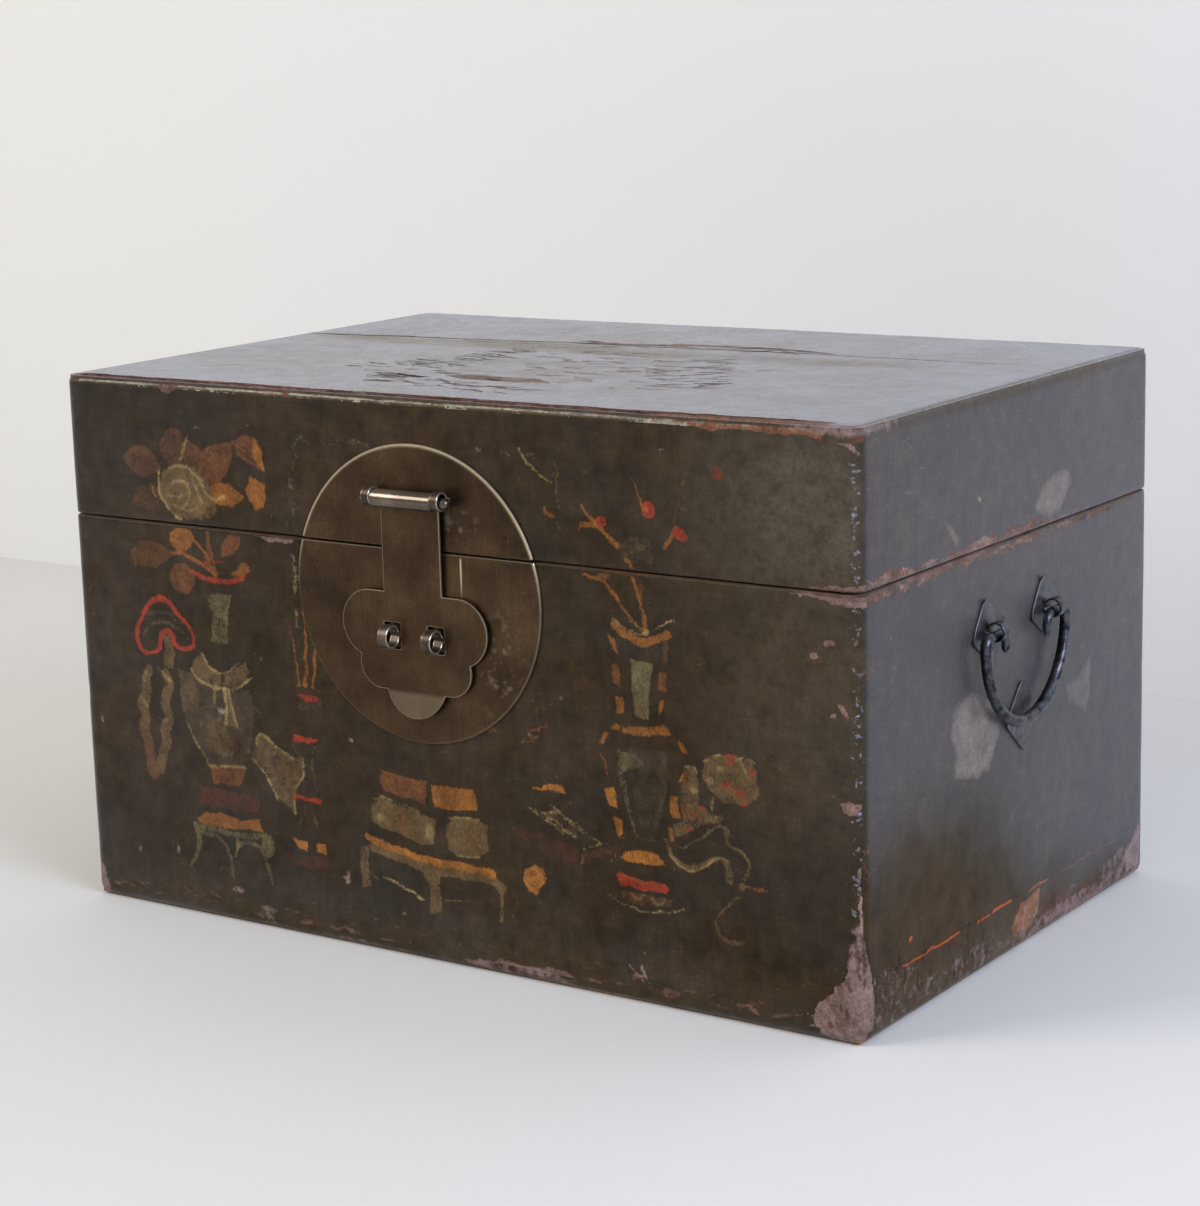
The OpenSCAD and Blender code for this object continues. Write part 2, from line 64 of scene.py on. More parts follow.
class Nodes:
    # A material and short ways to add its nodes. Each gives back the socket that comes out. What goes in is such a
    # socket, a number or a hex colour.
    def __init__(self, name):
        self.material = bpy.data.materials.new(name)
        self.material.use_nodes = True
        self.nodes, self.links = self.material.node_tree.nodes, self.material.node_tree.links
        self.shader = self.nodes["Principled BSDF"]
        self.place = self.add("ShaderNodeTexCoord").outputs["Object"]

    def put(self, node, sockets):
        # a socket is linked, and anything else becomes the input's own value
        for key, value in sockets.items():
            if isinstance(value, bpy.types.NodeSocket):
                self.links.new(value, node.inputs[key])
            else:
                node.inputs[key].default_value = linear(value) if isinstance(value, str) else value

    def add(self, kind, sockets=None, **settings):
        # the settings come first, because some of them decide which inputs a node has
        node = self.nodes.new(kind)
        for key, value in settings.items():
            setattr(node, key, value)
        self.put(node, sockets or {})
        return node

    def noise(self, scale, detail, roughness, vector=None, distortion=0.0):
        return self.add("ShaderNodeTexNoise", {
            "Vector": self.place if vector is None else vector, "Scale": scale, "Detail": detail,
            "Roughness": roughness, "Distortion": distortion}).outputs["Fac"]

    def drawn(self, scale, turn=(0, 0, 0)):
        # coordinates scaled by axis: a small scale draws a noise out along its axis
        return self.add("ShaderNodeMapping", {"Vector": self.place, "Rotation": turn, "Scale": scale}).outputs[0]

    def spread(self, value, low, high, start=0.0, end=1.0):
        # start at low, end at high, even between them and level beyond
        return self.add("ShaderNodeMapRange", {0: value, 1: low, 2: high, 3: start, 4: end}).outputs[0]

    def maths(self, operation, a, b, clamp=False):
        return self.add("ShaderNodeMath", {0: a, 1: b}, operation=operation, use_clamp=clamp).outputs[0]

    def times(self, a, b, plus=0.0):
        # a times b, plus a third number
        return self.add("ShaderNodeMath", {0: a, 1: b, 2: plus}, operation="MULTIPLY_ADD").outputs[0]

    def mix(self, share, first, second, blend="MIX"):
        # two colours: the share is the second's
        node = self.add("ShaderNodeMix", {0: share, 6: first, 7: second}, data_type="RGBA", blend_type=blend)
        return node.outputs[2]

    def between(self, share, first, second):
        # two numbers: the share is the second's
        return self.add("ShaderNodeMix", {0: share, 2: first, 3: second}, data_type="FLOAT").outputs[0]

    def field(self, name):
        # a number that the mesh keeps for each point
        return self.add("ShaderNodeAttribute", attribute_name=name).outputs["Fac"]

    def ramp(self, value, *stops):
        # stops are (place, hex colour) pairs
        node = self.add("ShaderNodeValToRGB", {0: value})
        elements = node.color_ramp.elements
        for k, (place, code) in enumerate(stops):
            element = elements[k] if k < len(elements) else elements.new(place)
            element.position = place
            element.color = linear(code)
        return node.outputs[0]

    def dressed(self, height, strength, distance, sockets):
        # the shader's own sockets, and the relief as a bump of that many metres
        bump = self.add("ShaderNodeBump", {"Strength": strength, "Distance": distance, "Height": height})
        self.put(self.shader, {**sockets, "Normal": bump.outputs[0]})
        return self.material


def smoothStep(low, high, value):
    # 0 below low, 1 above high, and 3t² - 2t³ between
    t = np.clip((value - low) / (high - low), 0, 1)
    return t * t * (3 - 2 * t)


def valueNoise(points, size, seed):
    # random numbers from -1 to 1 on a lattice of that size, blended between its corners by 3t² - 2t³
    table = np.random.RandomState(seed).uniform(-1, 1, 4096)
    scaled = points / size
    cell = np.floor(scaled).astype(np.int64)
    t = scaled - cell
    t = t * t * (3 - 2 * t)
    total = np.zeros(points.shape[:-1])
    for corner in np.ndindex(2, 2, 2):
        k = cell + np.array(corner)
        index = (k[..., 0] * 73856093 ^ k[..., 1] * 19349663 ^ k[..., 2] * 83492791) & 4095
        total += np.prod(np.where(corner, t, 1 - t), axis=-1) * table[index]
    return total


def roughNoise(points, size, seed, octaves=3):
    # value noise summed over octaves, each of half the size and half the height
    return sum(valueNoise(points, size / 2 ** k, seed + k) / 2 ** k for k in range(octaves))


def waves(points, parts):
    # value noises added up, each given as its height, its size and its seed
    return sum(height * valueNoise(points, size, seed) for height, size, seed in parts)


def softened(path, times=2):
    # corner cutting: each leg is replaced by points a quarter and three quarters along it, ends kept
    for _ in range(times):
        cut = np.empty((2 * len(path) - 2, path.shape[1]))
        cut[0::2] = 0.75 * path[:-1] + 0.25 * path[1:]
        cut[1::2] = 0.25 * path[:-1] + 0.75 * path[1:]
        path = np.concatenate([path[:1], cut, path[-1:]])
    return path


def gridFaces(rows, columns, closeRows=False, closeColumns=False):
    # quads of a grid stored row by row; a closed direction joins its last line to its first
    i = np.arange(rows if closeRows else rows - 1)
    j = np.arange(columns if closeColumns else columns - 1)
    a = (i[:, None] * columns + j).ravel()
    b = ((i[:, None] + 1) % rows * columns + j).ravel()
    c = ((i[:, None] + 1) % rows * columns + (j + 1) % columns).ravel()
    d = (i[:, None] * columns + (j + 1) % columns).ravel()
    return np.stack([a, b, c, d], 1)


def shellFaces(faces, count, rows):
    # a sheet's faces repeated as layers: the first layer as given, the last turned over, and walls down the open border
    edges = np.concatenate([np.stack([f, np.roll(f, -1, 1)], -1).reshape(-1, 2) for f in faces])
    forward, backward = edges[:, 0] * count + edges[:, 1], edges[:, 1] * count + edges[:, 0]
    a, b = edges[~np.isin(forward, backward)].T
    walls = [np.stack([b, a, a + count, b + count], 1) + row * count for row in range(rows - 1)]
    return [*faces, *(f[:, ::-1] + (rows - 1) * count for f in faces), *walls]


def dropUnused(points, faces, values):
    # points that no face uses go, and the faces are renumbered
    used = np.zeros(len(points), bool)
    for f in faces:
        used[f] = True
    number = np.cumsum(used) - 1
    return points[used], [row for f in faces for row in number[f].tolist()], {k: v[used] for k, v in values.items()}


def makePiece(name, points, faces, material, body, replaced=(), values=None, sharp=35):
    # A mesh from points in mm, with one number or one colour per point kept as an attribute. Its faces are turned
    # over if the volume they enclose, the sum of a . (b x c) / 6 over its triangles, comes out below zero.
    mesh = bpy.data.meshes.new(name)
    mesh.from_pydata((np.asarray(points).reshape(-1, 3) * mm).tolist(), [], [list(map(int, f)) for f in faces])
    mesh.calc_loop_triangles()
    corners = np.empty(3 * len(mesh.loop_triangles), np.int32)
    mesh.loop_triangles.foreach_get("vertices", corners)
    a, b, c = np.asarray(points, float).reshape(-1, 3)[corners].reshape(-1, 3, 3).transpose(1, 0, 2)
    if np.sum(a * np.cross(b, c)) < 0:
        mesh.flip_normals()
    for key, value in (values or {}).items():
        kind = "FLOAT_COLOR" if value.ndim == 2 else "FLOAT"
        layer = mesh.attributes.new(key, kind, "POINT")
        layer.data.foreach_set("color" if value.ndim == 2 else "value", value.astype(np.float32).ravel())
    mesh.shade_smooth()
    mesh.set_sharp_from_angle(angle=math.radians(sharp))
    mesh.materials.append(material)
    piece = bpy.data.objects.new(name, mesh)
    bpy.context.scene.collection.objects.link(piece)
    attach(piece, body)
    if replaced:
        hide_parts(*replaced)
    return piece


# Camera, stage and light

view = {
    "place": (0.99288, -1.46024, 0.55384), "turn": (78.116, 1.536, 34.117), "lens": 86.06,
    "floor": "#d9d8d6", "wall": "#e4e4e3", "reach": 6, "wallY": 0.62, "wallFoot": -0.01, "wallTop": 4,
    "world": "#f7f5f1", "worldStrength": 0.56, "aim": (0, 0, 0.15),
}
cameraData = bpy.data.cameras.new("camera")
cameraData.lens = view["lens"]
cameraData.sensor_width = 36
cameraData.clip_start = 0.05
camera = bpy.data.objects.new("camera", cameraData)
camera.location = view["place"]
camera.rotation_euler = [math.radians(a) for a in view["turn"]]
bpy.context.scene.collection.objects.link(camera)
bpy.context.scene.camera = camera
bpy.context.scene.view_settings.view_transform = "Standard"


def makeStage(name, code, corners, oneSided=False):
    # one flat four-sided sheet with a matt painted finish; a one-sided sheet can be looked through from behind
    kit = Nodes(name + "Paint")
    kit.put(kit.shader, {"Base Color": code, "Roughness": 0.9, "Specular IOR Level": 0.2})
    if oneSided:
        behind = kit.add("ShaderNodeNewGeometry").outputs["Backfacing"]
        clear = kit.add("ShaderNodeBsdfTransparent").outputs[0]
        both = kit.add("ShaderNodeMixShader", {0: behind, 1: kit.shader.outputs[0], 2: clear}).outputs[0]
        kit.put(kit.nodes["Material Output"], {"Surface": both})
    mesh = bpy.data.meshes.new(name)
    mesh.from_pydata(corners, [], [(0, 1, 2, 3)])
    mesh.materials.append(kit.material)
    sheet = bpy.data.objects.new(name, mesh)
    bpy.context.scene.collection.objects.link(sheet)


reach, wallY, wallFoot, wallTop = (view[k] for k in ("reach", "wallY", "wallFoot", "wallTop"))
makeStage("floor", view["floor"], [(-reach, -reach, 0), (reach, -reach, 0), (reach, reach, 0), (-reach, reach, 0)])
makeStage("wall", view["wall"], [(-reach, wallY, wallFoot), (reach, wallY, wallFoot), (reach, wallY, wallTop),
                                 (-reach, wallY, wallTop)], oneSided=True)

world = bpy.data.worlds.new("studio")
world.use_nodes = True
world.node_tree.nodes["Background"].inputs["Color"].default_value = linear(view["world"])
world.node_tree.nodes["Background"].inputs["Strength"].default_value = view["worldStrength"]
bpy.context.scene.world = world

lamps = {
    "window": {"place": (-1.7, -2.0, 1.9), "size": 1.3, "power": 46, "colour": "#fff8ee"},
    "fill": {"place": (2.6, -0.8, 1.5), "size": 1.6, "power": 70, "colour": "#d5e0fb"},
}
for lampName, lamp in lamps.items():
    lightData = bpy.data.lights.new(lampName, "AREA")
    lightData.shape = "SQUARE"
    lightData.size = lamp["size"]
    lightData.energy = lamp["power"]
    lightData.color = linear(lamp["colour"])[:3]
    light = bpy.data.objects.new(lampName, lightData)
    light.location = lamp["place"]
    # turned from straight down to look at the aim
    aim = np.array(view["aim"]) - np.array(lamp["place"])
    level = math.hypot(aim[0], aim[1])
    light.rotation_euler = (math.pi / 2 + math.atan2(aim[2], level), 0, math.atan2(-aim[0], aim[1]))
    bpy.context.scene.collection.objects.link(light)
print("camera, stage and lamps are in place")


# Materials

middle = (0.3, 0.7)   # a noise's values lie mostly between these
lacquer = {
    # oil lacquer brushed over cloth, rubbed and dusty: olive black where thick, brown where thin, with a soft gloss
    "dark": "#15130b", "mid": "#1d180e", "brown": "#281e10", "haze": "#8a8274", "fleck": "#7c7875", "crack": "#0d0907",
    "scuffAndReflection": "#4c3c29",
    # the clay ground under it: red-brown at hand height, ashen pink where damp has bleached it, wood under that
    "groundBrown": "#4a2d22", "groundRust": "#6a3d28", "groundGrey": "#6b5852", "groundPink": "#93797a",
    "bareWood": "#a0602f",
    "rough": (0.15, 0.26), "wornRough": 0.6, "ior": 1.37, "amber": "#e2b986", "gloss": (0.5, 0.07),
    "sheen": 0.38, "sheenRough": 0.5, "sheenTint": "#d6def4",
    "relief": 0.00012,
    "cloud": 13, "mottle": 85, "flake": 150, "grit": 620, "craze": 105,   # noise scales: cells a metre
}


def lacquerMaterial(name, rubbing=None):
    # rubbing is how far the noises break up the paint on the lacquer; where it is none there is no paint
    kit = Nodes(name)
    cloud, mottle = kit.noise(lacquer["cloud"], 5, 0.6), kit.noise(lacquer["mottle"], 6, 0.65)
    flake, grit = kit.noise(lacquer["flake"], 8, 0.68), kit.noise(lacquer["grit"], 3, 0.6)
    colour = kit.ramp(cloud, (0.36, lacquer["dark"]), (0.5, lacquer["mid"]), (0.66, lacquer["brown"]))
    # the threads of the cloth: one noise drawn out level to 16 times its width, one drawn out upright
    threads = [kit.spread(kit.noise(1, 6, 0.75, kit.drawn(scale)), *middle, 0.62, 1.4)
               for scale in ((40, 40, 640), (640, 640, 40))]
    marks = kit.times(*threads)
    colour = kit.mix(1.0, colour, kit.times(kit.spread(mottle, *middle, 0.3, 1.8), marks), "MULTIPLY")
    # fine pale flecks where grit stands out, thicker in some places
    fleck = kit.spread(kit.times(mottle, 0.35, grit), 0.84, 0.94, 0.0, 0.5)
    colour = kit.mix(fleck, colour, lacquer["fleck"])
    # dust haze, which on the top is also painted brightness standing for its reflection: its field times the flaking
    # noise
    pale = kit.times(kit.field("pale"), kit.spread(flake, *middle, 0.35, 1.5))
    colour = kit.mix(pale, colour, lacquer["haze"])
    # scuffed places lose sheen and gloss, and a brown comes through: the worn clay, and near the foot also a painted
    # reflection of a brown surface below
    dull = kit.field("dull")
    scuffAndReflection = kit.times(dull, kit.spread(mottle, *middle, 0.34, 0.7))
    colour = kit.mix(scuffAndReflection, colour, lacquer["scuffAndReflection"])
    sheen = kit.spread(dull, 0.0, 0.6, lacquer["sheen"], 0.0)
    gloss = kit.spread(dull, 0.0, 1.0, *lacquer["gloss"])
    if rubbing is not None:
        # worn brush work: its cover less the noises, so thin paint breaks up first and thick paint shows pits
        paint = kit.add("ShaderNodeAttribute", attribute_name="paint").outputs
        rubbed = kit.times(grit, 1.5 * rubbing, kit.times(flake, 1.9 * rubbing, -1.3 * rubbing))
        cover = kit.spread(kit.maths("SUBTRACT", paint["Alpha"], rubbed), -0.06, 0.44)
        # the brush's hairs: noise in short slanting strokes
        hairs = kit.noise(1, 2, 0.6, kit.drawn((1100, 1100, 480), (0.4, 0.9, 0)))
        grain = kit.times(kit.spread(mottle, *middle, 0.55, 1.35), kit.spread(hairs, *middle, 0.62, 1.35))
        thick = kit.times(cover, kit.times(paint["Alpha"], 0.5, 0.48))
        colour = kit.mix(thick, colour, kit.mix(1.0, paint["Color"], grain, "MULTIPLY"))
    # worn ground, then bare wood, each where its field and the flaking noise pass a level
    wear = kit.times(flake, 1.1, kit.field("wear"))
    worn, bare = kit.spread(wear, 0.9, 1.16), kit.spread(wear, 1.36, 1.46)
    ground = kit.ramp(kit.times(mottle, 0.7, kit.field("ash")), (0.28, lacquer["groundBrown"]),
                      (0.42, lacquer["groundRust"]), (0.6, lacquer["groundBrown"]), (0.78, lacquer["groundGrey"]),
                      (0.96, lacquer["groundPink"]))
    colour = kit.mix(bare, kit.mix(worn, colour, ground), lacquer["bareWood"])
    # crazing: thin walls between Voronoi cells bent by noise, only where its field is high
    bent = kit.mix(0.02, kit.place, mottle.node.outputs["Color"], "LINEAR_LIGHT")
    cells = kit.add("ShaderNodeTexVoronoi", {"Vector": bent, "Scale": lacquer["craze"]}, feature="DISTANCE_TO_EDGE")
    here = kit.spread(kit.times(cloud, 1.2, kit.field("craze")), 1.15, 1.4)
    crazed = kit.times(kit.spread(cells.outputs["Distance"], 0.015, 0.09, 1.0, 0.0), here)
    colour = kit.mix(crazed, colour, lacquer["crack"])
    rough = kit.between(kit.maths("MAXIMUM", worn, crazed), kit.spread(mottle, *middle, *lacquer["rough"]),
                        lacquer["wornRough"])
    # relief in shares of its full height: grit, mottle and threads swell, worn places and crazing sink
    height = kit.times(marks, 0.6, kit.times(grit, 0.5, mottle))
    height = kit.times(crazed, -3.0, kit.times(worn, -1.6, height))
    return kit.dressed(height, 0.8, lacquer["relief"], {
        "Base Color": colour, "Roughness": rough, "IOR": lacquer["ior"], "Specular IOR Level": gloss,
        "Specular Tint": lacquer["amber"], "Sheen Weight": sheen, "Sheen Roughness": lacquer["sheenRough"],
        "Sheen Tint": lacquer["sheenTint"]})


def groundMaterial(name):
    # what shows where the lacquer has gone: dry clay, cloth and wood, matt, in the colours of the paint attribute
    kit = Nodes(name)
    mottle, grit = kit.noise(lacquer["mottle"], 6, 0.7), kit.noise(lacquer["grit"], 4, 0.7)
    shading = kit.times(kit.spread(mottle, *middle, 0.45, 1.4), kit.spread(grit, *middle, 0.55, 1.4))
    paint = kit.add("ShaderNodeAttribute", attribute_name="paint").outputs["Color"]
    return kit.dressed(grit, 0.9, 0.0003, {
        "Base Color": kit.mix(1.0, paint, shading, "MULTIPLY"), "Roughness": 0.86, "Specular IOR Level": 0.12})


brass = {
    # old sheet brass under a brown patina, satin, polished by hands at its edges and with painted edge highlights;
    # the wrought pins are greyer
    "sheet": ("#35281b", "#463524", "#57442f"), "pin": ("#2d2722", "#463d36", "#6b6057"),
    "edge": "#d6c6a8", "rubbed": "#c3b3a2",
    "rough": (0.34, 0.48), "barrelRough": (0.14, 0.24), "edgeRough": 0.22, "metallic": 0.85, "stain": 26, "grain": 700,
}


def brassMaterial(name, colours, polished, rim=0.0, polish=0.0, satin=brass["rough"]):
    # rim is how bright a sheet's edge is, from rubbing and as a painted highlight; polish how bright the whole surface
    # is
    kit = Nodes(name)
    stain, grain = kit.noise(brass["stain"], 6, 0.62), kit.noise(brass["grain"], 4, 0.6)
    colour = kit.ramp(stain, *zip((0.34, 0.5, 0.68), colours))
    # scouring marks: noise drawn out upright to 20 times its width
    scour = kit.noise(1, 3, 0.6, kit.drawn((620, 620, 30)))
    shade = kit.spread(kit.times(scour, 0.6, grain), 0.6, 1.0, 0.78, 1.2)
    bright = kit.spread(stain, *middle, polish * 0.4, polish)
    if rim:
        # the rim field is the distance in mm from the sheet's edge; the rub field is where fingers have polished it and
        # where highlights and reflections are painted
        edge = kit.spread(kit.times(stain, 0.5, kit.field("rim")), 0.35, 0.95, rim, 0.0)
        bright = kit.maths("ADD", bright, kit.maths("MAXIMUM", kit.field("rubAndHighlight"), edge), clamp=True)
    colour = kit.mix(bright, kit.mix(1.0, colour, shade, "MULTIPLY"), polished)
    rough = kit.between(bright, kit.spread(stain, *middle, *satin), brass["edgeRough"])
    return kit.dressed(grain, 0.5, 0.00008, {
        "Base Color": colour, "Roughness": rough, "Metallic": brass["metallic"]})


iron = {
    # hand-forged iron, blue-black scale burnished by use, with a little rust
    "wire": ("#26272b", "#55585f", "#5a4236"), "wireRough": (0.16, 0.36), "hammer": 190, "grain": 900,
    # the plates' colours are lighter than the wire's: a painted reflection of pale surroundings seen at a slant
    "plate": ("#4b4b4e", "#67676c", "#5c5049"), "plateRough": (0.3, 0.5),
}


def ironMaterial(name, colours, roughness):
    # the hammer marks give the colour and most of the relief
    kit = Nodes(name)
    hammer, grain = kit.noise(iron["hammer"], 3, 0.5), kit.noise(iron["grain"], 4, 0.6)
    colour = kit.ramp(hammer, *zip((0.35, 0.6, 0.72), colours))
    return kit.dressed(kit.times(grain, 0.2, hammer), 0.8, 0.0005, {
        "Base Color": colour, "Roughness": kit.spread(grain, *middle, *roughness), "Metallic": 0.9})


wood = {
    # plain old softwood, never finished: brown rings, open grain, dust in the pores
    "pale": "#94734f", "mid": "#7c5d3e", "dark": "#624730", "rough": (0.62, 0.8), "ring": 70, "pore": 520,
}


def woodMaterial(name, stretch):
    # stretch is the scale along x, y and z: small along the grain
    kit = Nodes(name)
    along = kit.drawn(stretch)
    ring, pore = kit.noise(wood["ring"], 4, 0.55, along, 0.6), kit.noise(wood["pore"], 4, 0.6, along)
    colour = kit.ramp(ring, (0.32, wood["dark"]), (0.5, wood["mid"]), (0.66, wood["pale"]))
    colour = kit.mix(1.0, colour, kit.spread(pore, *middle, 0.75, 1.15), "MULTIPLY")
    return kit.dressed(pore, 0.6, 0.0004, {
        "Base Color": colour, "Roughness": kit.spread(pore, *middle, *wood["rough"])})


skinLacquer = lacquerMaterial("agedLacquerOverCloth")
paintedLacquer = lacquerMaterial("agedLacquerWithPaint", 1.0)
stainedLacquer = lacquerMaterial("agedLacquerWithStains", 0.12)
bareGround = groundMaterial("bareClayGround")
plateBrass = brassMaterial("patinatedSheetBrass", brass["sheet"], brass["edge"], rim=0.22)
haspBrass = brassMaterial("sheetBrassWithEdgeHighlight", brass["sheet"], brass["edge"], rim=0.4)
barrelBrass = brassMaterial("rubbedBrass", brass["pin"], brass["rubbed"], polish=0.2, satin=brass["barrelRough"])
strapBrass = brassMaterial("strapBrassWithEdgeHighlight", brass["pin"], brass["rubbed"], rim=0.8)
hingeBrass = brassMaterial("plainOldBrass", brass["sheet"], brass["edge"])
forgedIron = ironMaterial("forgedIron", iron["wire"], iron["wireRough"])
plateIron = ironMaterial("sheetIronWithPaintedReflection", iron["plate"], iron["plateRough"])
woodAcross = woodMaterial("oldSoftwoodAcross", (0.12, 1, 1))
woodDeep = woodMaterial("oldSoftwoodDeep", (1, 0.12, 1))
print("materials are made")


# Where the lacquer is worn, faded, cracked and crazed. A field is an ellipsoid's strength, falling off at its skin.

seamZ = (trunk["caseHigh"] + trunk["lidLow"]) / 2
wearPlaces = [
    # centre x, y, z, radii x, y, z, strength
    (272, -184, 8, 20, 8, 16, 0.6), (279, -184, 34, 9, 8, 44, 0.52), (281, -180, 100, 4, 8, 26, 0.36),
    (55, -184, 4, 44, 8, 6, 0.5), (-276, -184, 8, 9, 9, 16, 0.5), (-60, -184, 2, 30, 6, 3.5, 0.45),
    (-135, -184, 6, 10, 6, 8, 0.36), (262, -184, 246, 22, 6, 3, 0.55), (140, -184, 247, 50, 6, 1.8, 0.4),
    (282, -182, 300, 4, 7, 26, 0.34), (281, -181, 200, 3, 7, 22, 0.34), (256, -182, 336, 36, 7, 6, 0.5),
    (273, -178, 332, 13, 11, 7, 0.5), (281, -150, 333, 6, 26, 5, 0.42), (-276, -182, 334, 8, 7, 4, 0.45),
    (-186, -184, 336, 22, 5, 4, 0.45), (-196, -184, 331, 5, 5, 3, 0.6), (-110, -184, 333, 16, 5, 3, 0.5),
    (280, -84, 248, 8, 90, 3, 0.58), (280, -140, 247, 8, 40, 5, 0.4), (280, 60, 248, 6, 70, 2.2, 0.42),
    (280, 12, 16, 6, 20, 11, 0.38), (280, 70, 6, 7, 80, 9, 0.46), (280, 150, 12, 8, 40, 15, 0.42),
    (280, -150, 20, 6, 40, 20, 0.34), (280, -70, 12, 6, 60, 10, 0.34), (280, 178, 18, 10, 10, 24, 0.4),
    (-280, 40, 60, 6, 30, 20, 0.36), (-280, -100, 250, 6, 60, 3, 0.45), (-280, 120, 10, 6, 60, 9, 0.46),
    (-120, 184, 20, 60, 6, 14, 0.38), (200, 184, 8, 60, 6, 9, 0.45), (60, 184, 330, 50, 6, 5, 0.38),
]
palePlaces = [
    (262, -184, 290, 110, 7, 74, 0.24), (262, -184, 190, 90, 7, 120, 0.12), (0, -184, 4, 430, 8, 34, 0.1),
    # the top's broad entry is dust and also painted brightness that stands for the top's reflection
    (0, 0, 337, 560, 370, 8, 0.36), (280, -60, 4, 8, 200, 34, 0.2),
    (-280, -30, 150, 6, 60, 46, 0.09), (0, 184, 160, 200, 6, 90, 0.05),
]
# where dull is high near the foot of the sides, front and back, its brown is a painted reflection of a brown surface
# below as well as scuffing
dullAndReflectionPlaces = [
    (0, 0, 337, 600, 400, 8, 0.36), (0, -184, 160, 700, 7, 400, 0.4), (-80, 40, 337, 260, 34, 8, 0.85),
    (-30, -50, 337, 150, 80, 8, 0.45), (130, 42, 337, 120, 30, 8, 0.6), (280, 0, 335, 7, 260, 8, 0.5),
    (280, -112, 30, 9, 150, 98, 1.1), (280, -30, 6, 9, 160, 54, 0.85), (280, 110, 4, 9, 120, 30, 0.6),
    (0, -184, 0, 520, 8, 46, 0.6), (215, -184, 18, 120, 8, 80, 0.55), (-280, -60, 20, 9, 240, 60, 0.8),
    (0, 184, 2, 520, 8, 44, 0.5),
]
crazePlaces = [
    (10, 0, 336, 90, 90, 8, 0.5), (60, 70, 336, 70, 26, 8, 0.55), (-80, -60, 336, 36, 50, 8, 0.5),
    (120, 10, 336, 50, 50, 8, 0.42), (280, -130, 20, 6, 60, 24, 0.3),
]


wearing = {
    # along the arrises and the front brow: how far in mm the wear reaches, its strength, and how much that changes
    "arris": (2.2, 0.34, 0.24), "brow": (3, 0.56, 0.18),
    "changes": 60,   # length in mm over which it changes
    "seamSpared": 1.5,   # the seam's arrises wear as if they lay this much further in
    # how far damp has bleached the ground at the foot, at the seam and at the near corner of the top
    "foot": 0.55, "seam": 0.36, "corner": 0.5,
}
surface = {
    "waves": ((0.22, 110, 3), (0.12, 34, 5), (0.04, 9, 7)), "inset": 0.15,
    # the top lies lower, which keeps its waves and the marks on them under the trunk's height
    "settled": 0.22, "settledDepth": 4,
    # at the arrises: how far in they are worn, the chips' depth and size, and how deep they are rubbed all along
    "reach": 2.4, "chip": 1.3, "chipSize": 11, "rubbed": 0.35,
}


def placeField(points, places, core=0.7):
    # the strongest place at each point: its strength inside that share of the radii, fading to 0 at 1.25 of them
    field = np.zeros(len(points))
    for x, y, z, rx, ry, rz, strength in places:
        far = np.linalg.norm((points - (x, y, z)) / (rx, ry, rz), axis=1)
        field = np.maximum(field, strength * (1 - smoothStep(core, 1.25, far)))
    return field


def edgeDistance(points):
    # distance in mm from the nearest arris: the two nearest of the box's planes, as the hypotenuse of their depths
    x = trunk["halfX"] - np.abs(points[:, 0])
    y = trunk["halfY"] - np.abs(points[:, 1])
    z = np.minimum(np.abs(points[:, 2] - trunk["lidHigh"]), np.abs(points[:, 2]))
    seam = np.abs(points[:, 2] - seamZ)
    depths = np.sort(np.abs(np.stack([x, y, z], 1)), axis=1)
    return np.minimum(np.hypot(depths[:, 0], depths[:, 1]), np.hypot(seam, depths[:, 0]) + wearing["seamSpared"])


def wearField(points):
    # the wear of the listed places, or the wear of an arris, exp(-distance / reach) with slow changes along the edge
    along = roughNoise(points, wearing["changes"], 11)
    toBrow = np.hypot(points[:, 1] - frontY, points[:, 2] - trunk["lidHigh"])
    arris, brow = (np.exp(-far / reach) * (strength + change * along) for far, (reach, strength, change) in
                   ((edgeDistance(points), wearing["arris"]), (toBrow, wearing["brow"])))
    return np.maximum.reduce([placeField(points, wearPlaces), arris, brow])


def ashField(points):
    # how far damp has bleached the ground: fully at the foot, half at the seam, little at the top
    x, y, z = points.T
    foot = wearing["foot"] * (1 - smoothStep(40, 130, z))
    seam = wearing["seam"] * np.exp(-np.abs(z - seamZ) / 16) * smoothStep(60, 200, x)
    corner = wearing["corner"] * smoothStep(200, 250, x) * smoothStep(326, 332, z) * (1 - smoothStep(-150, -110, y))
    return np.maximum.reduce([foot, seam, corner]) + 0.05 * valueNoise(points, 30, 61)


def surfaceOffset(points):
    # outward swell in mm: slow waves of the boards and the cloth, less the chips and the rubbing of worn arrises
    near = np.exp(-edgeDistance(points) / surface["reach"])
    chips = smoothStep(0.1, 0.75, roughNoise(points, surface["chipSize"], 21)) * near
    top = smoothStep(trunk["lidHigh"] - surface["settledDepth"], trunk["lidHigh"], points[..., 2])
    return (waves(points, surface["waves"]) - surface["inset"] - surface["settled"] * top
            - surface["chip"] * chips - surface["rubbed"] * near)


def lacquerValues(points):
    return {"wear": wearField(points), "pale": placeField(points, palePlaces, 0.1),
            "craze": placeField(points, crazePlaces), "ash": ashField(points),
            "dull": placeField(points, dullAndReflectionPlaces, 0.1) * (1 + 0.3 * roughNoise(points, 26, 71))}


